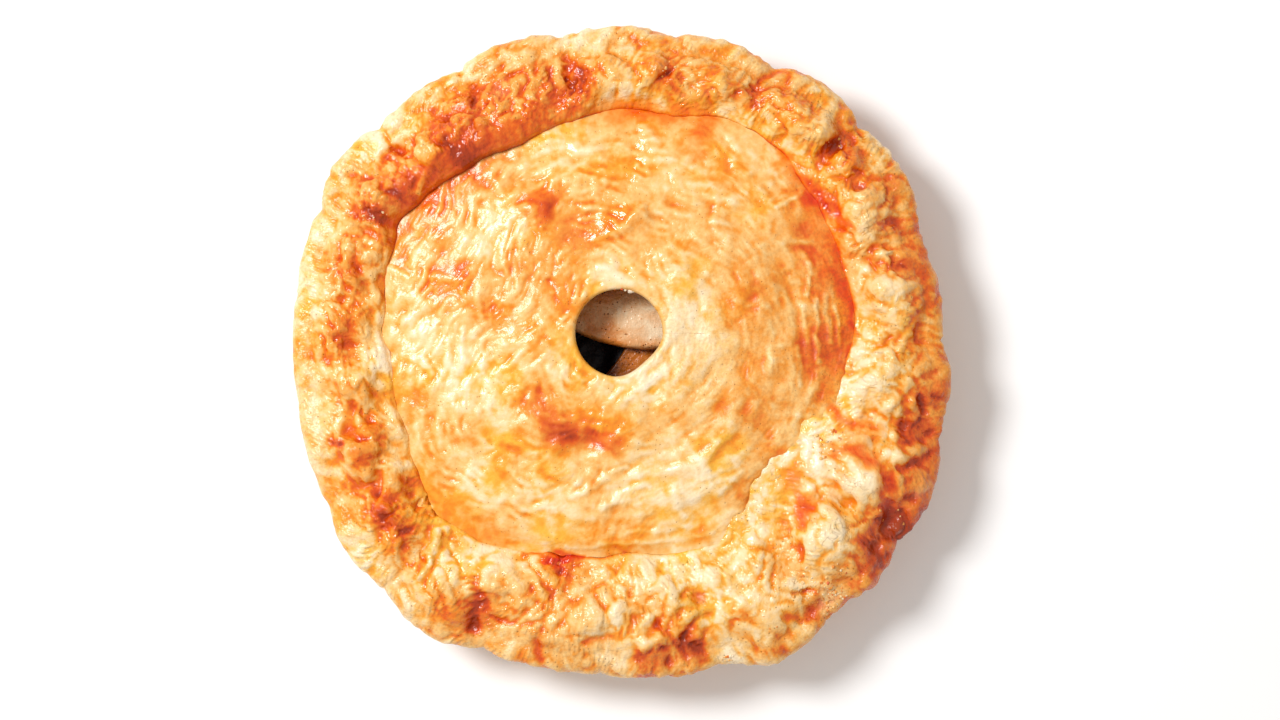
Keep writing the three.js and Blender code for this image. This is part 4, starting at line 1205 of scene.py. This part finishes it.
# Crumbs and thin flakes broke off the crust where its edge is torn and where the rim baked hardest.
# They are bits of the same pastry in the rim's finish. A few, each [x, y, size, browning], lie at the
# vent's upper edge.
CRUMB_PLACES = [
    [84, -97, 9, 1.0], [44, -121, 6, 0.8], [81, -38, 9, 0.7], [73, -92, 10, 0.8], [88, -88, 8, 0.5],
    [58, -108, 10, 0.3], [106, -66, 8, 0.4], [-89, 82, 10, 0.3], [-102, 54, 9, 0.3], [-60, 98, 10, 0.3],
    [17, 112, 10, 0.3], [86, 81, 8, 0.3],
]
CRUMB_COUNT = 240
SMALLEST_CRUMB, CRUMB_RANGE = 0.3, 0.8
VENT_CRUMBS = np.array([
    [3.4, 23.6, 1.5, 0.0], [1.4, 24.2, 0.8, 0.1], [0.2, 24.6, 0.9, 0.95], [-2.6, 24.4, 0.5, 0.8],
    [4.8, 23.4, 0.5, 0.1],
])
crust_points, lid_points = points_of(pastry_case), points_of(pastry_lid)


def lid_point_near(spot_x, spot_y):
    """The lid's nearest point to a place seen from above, and there the uppermost one."""
    away = np.hypot(lid_points[:, 0] - spot_x, lid_points[:, 1] - spot_y)
    return lid_points[np.argmin(away - 0.01 * lid_points[:, 2])]


chance = np.random.default_rng(5)
likely = spots(crust_points[:, 0], crust_points[:, 1], CRUMB_PLACES) ** 2
likely *= (across >= 0.05) * (across <= 1.3)
picked = chance.choice(len(likely), CRUMB_COUNT, replace=False, p=likely / likely.sum())
crumb_sizes = SMALLEST_CRUMB + CRUMB_RANGE * chance.random(CRUMB_COUNT) ** 2.5
crumb_sizes = np.append(crumb_sizes, VENT_CRUMBS[:, 2])
crumb_bake = np.append(0.15 + 0.6 * chance.random(CRUMB_COUNT), VENT_CRUMBS[:, 3])
flatness = blend(0.35, 0.8, chance.random(len(crumb_bake)))
slimness = blend(0.6, 1, chance.random(len(crumb_bake)))
upward = np.zeros(crust_points.size, np.float32)
pastry_case.data.vertex_normals.foreach_get("vector", upward)
level = np.tile([0.0, 0.0, 1.0], (len(VENT_CRUMBS), 1))
upward = np.concatenate([upward.reshape(-1, 3)[picked], level])
lean = np.arccos(np.clip(upward[:, 2], -1, 1))
lean_towards = np.arctan2(upward[:, 1], upward[:, 0])
vent_points = [lid_point_near(*spot[:2]) for spot in VENT_CRUMBS]
crumb_points = np.concatenate([crust_points[picked], vent_points])
crust_crumbs = new_piece("crust_crumbs", crumb_points, [])
crumb_shape = np.stack([crumb_sizes, crumb_sizes * slimness, crumb_sizes * flatness], axis=-1)
keep_attribute(crust_crumbs, "bake", crumb_bake)
keep_attribute(crust_crumbs, "crumb_shape", crumb_shape)
keep_attribute(crust_crumbs, "crumb_turn", np.stack([0 * lean, lean, lean_towards], axis=-1))


def scattered_crumbs(geometry, size):
    """A rough crumb at each point, as large, flat and turned as the point says."""
    ball_sizes = {"Radius": MM * size["Radius"], "Subdivisions": 3}
    ball = geometry.node("GeometryNodeMeshIcoSphere", {}, ball_sizes)
    shape = geometry.attribute("crumb_shape", "FLOAT_VECTOR")
    turn = geometry.attribute("crumb_turn", "FLOAT_VECTOR")
    placed = {"Points": geometry, "Instance": ball, "Rotation": turn, "Scale": shape}
    crumbs = geometry.node("GeometryNodeInstanceOnPoints", {}, placed)
    crumbs = crumbs.node("GeometryNodeRealizeInstances", {}, {"Geometry": crumbs})
    rough = crumbs.point_place().noise(0.7, 1.0, 0.0, size["Seed"]) - 0.5
    return crumbs.raised(size["Roughness"] * rough)


CRUMB_INPUTS = {"Radius": 0.75, "Roughness": 0.9, "Seed": 8}
shape_by_nodes(crust_crumbs, "scattered_crumbs", CRUMB_INPUTS, rim_finish, scattered_crumbs)
held_in_box(crust_crumbs)
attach(crust_crumbs, "root")


# The floor is a plain white sheet. One soft light stands to the upper left of the photograph, and
# white surroundings fill the shadow. The camera looks straight down on the pie.
PHOTO_WIDTH, PHOTO_HEIGHT = 1280, 720
PIE_PIXEL = (621.5, 351.5)
MM_PER_PIXEL = 0.396
RIM_LEVEL = 40
LENS, SENSOR = 85, 36
LIGHT_AZIMUTH, LIGHT_ELEVATION = 152, 56
LIGHT_DISTANCE, LIGHT_WIDTH = 1600, 460
LIGHT_POWER = 20.9
SURROUND_STRENGTH = 0.6
SURROUND_COLOUR = (1.0, 0.97, 0.94, 1)
SHEET_COLOUR = (0.94, 0.94, 0.94, 1)
SHEET_ROUGHNESS = 0.9
FLOOR_HALF = 3000

floor_corners = FLOOR_HALF * np.array([[-1, -1, 0], [1, -1, 0], [1, 1, 0], [-1, 1, 0]])
floor = new_piece("floor", floor_corners, [(0, 1, 2, 3)])
white_sheet = bpy.data.materials.new("white_sheet")
white_sheet.use_nodes = True
sheet_shader = white_sheet.node_tree.nodes["Principled BSDF"]
sheet_shader.inputs["Base Color"].default_value = SHEET_COLOUR
sheet_shader.inputs["Roughness"].default_value = SHEET_ROUGHNESS
floor.data.materials.append(white_sheet)

world = bpy.data.worlds.new("white_studio")
world.use_nodes = True
surroundings = world.node_tree.nodes["Background"]
surroundings.inputs["Color"].default_value = SURROUND_COLOUR
surroundings.inputs["Strength"].default_value = SURROUND_STRENGTH
bpy.context.scene.world = world

light_data = bpy.data.lights.new("soft_key", "AREA")
light_data.shape = "DISK"
light_data.size = LIGHT_WIDTH * MM
light_data.energy = LIGHT_POWER
light = bpy.data.objects.new("soft_key", light_data)
bpy.context.scene.collection.objects.link(light)
azimuth, elevation = math.radians(LIGHT_AZIMUTH), math.radians(LIGHT_ELEVATION)
across_floor = LIGHT_DISTANCE * math.cos(elevation)
light_x, light_y = across_floor * math.cos(azimuth), across_floor * math.sin(azimuth)
light_z = LIGHT_DISTANCE * math.sin(elevation)
light.location = (light_x * MM, light_y * MM, light_z * MM)
light.rotation_euler = (math.pi / 2 - elevation, 0, azimuth + math.pi / 2)

camera_data = bpy.data.cameras.new("overhead")
camera_data.lens = LENS
camera_data.sensor_width = SENSOR
camera = bpy.data.objects.new("overhead", camera_data)
bpy.context.scene.collection.objects.link(camera)
frame_width = PHOTO_WIDTH * MM_PER_PIXEL
camera_x = (PHOTO_WIDTH / 2 - PIE_PIXEL[0]) * MM_PER_PIXEL
camera_y = (PIE_PIXEL[1] - PHOTO_HEIGHT / 2) * MM_PER_PIXEL
camera_z = RIM_LEVEL + frame_width * LENS / SENSOR
camera.location = (camera_x * MM, camera_y * MM, camera_z * MM)
bpy.context.scene.camera = camera
bpy.context.scene.view_settings.view_transform = "Standard"
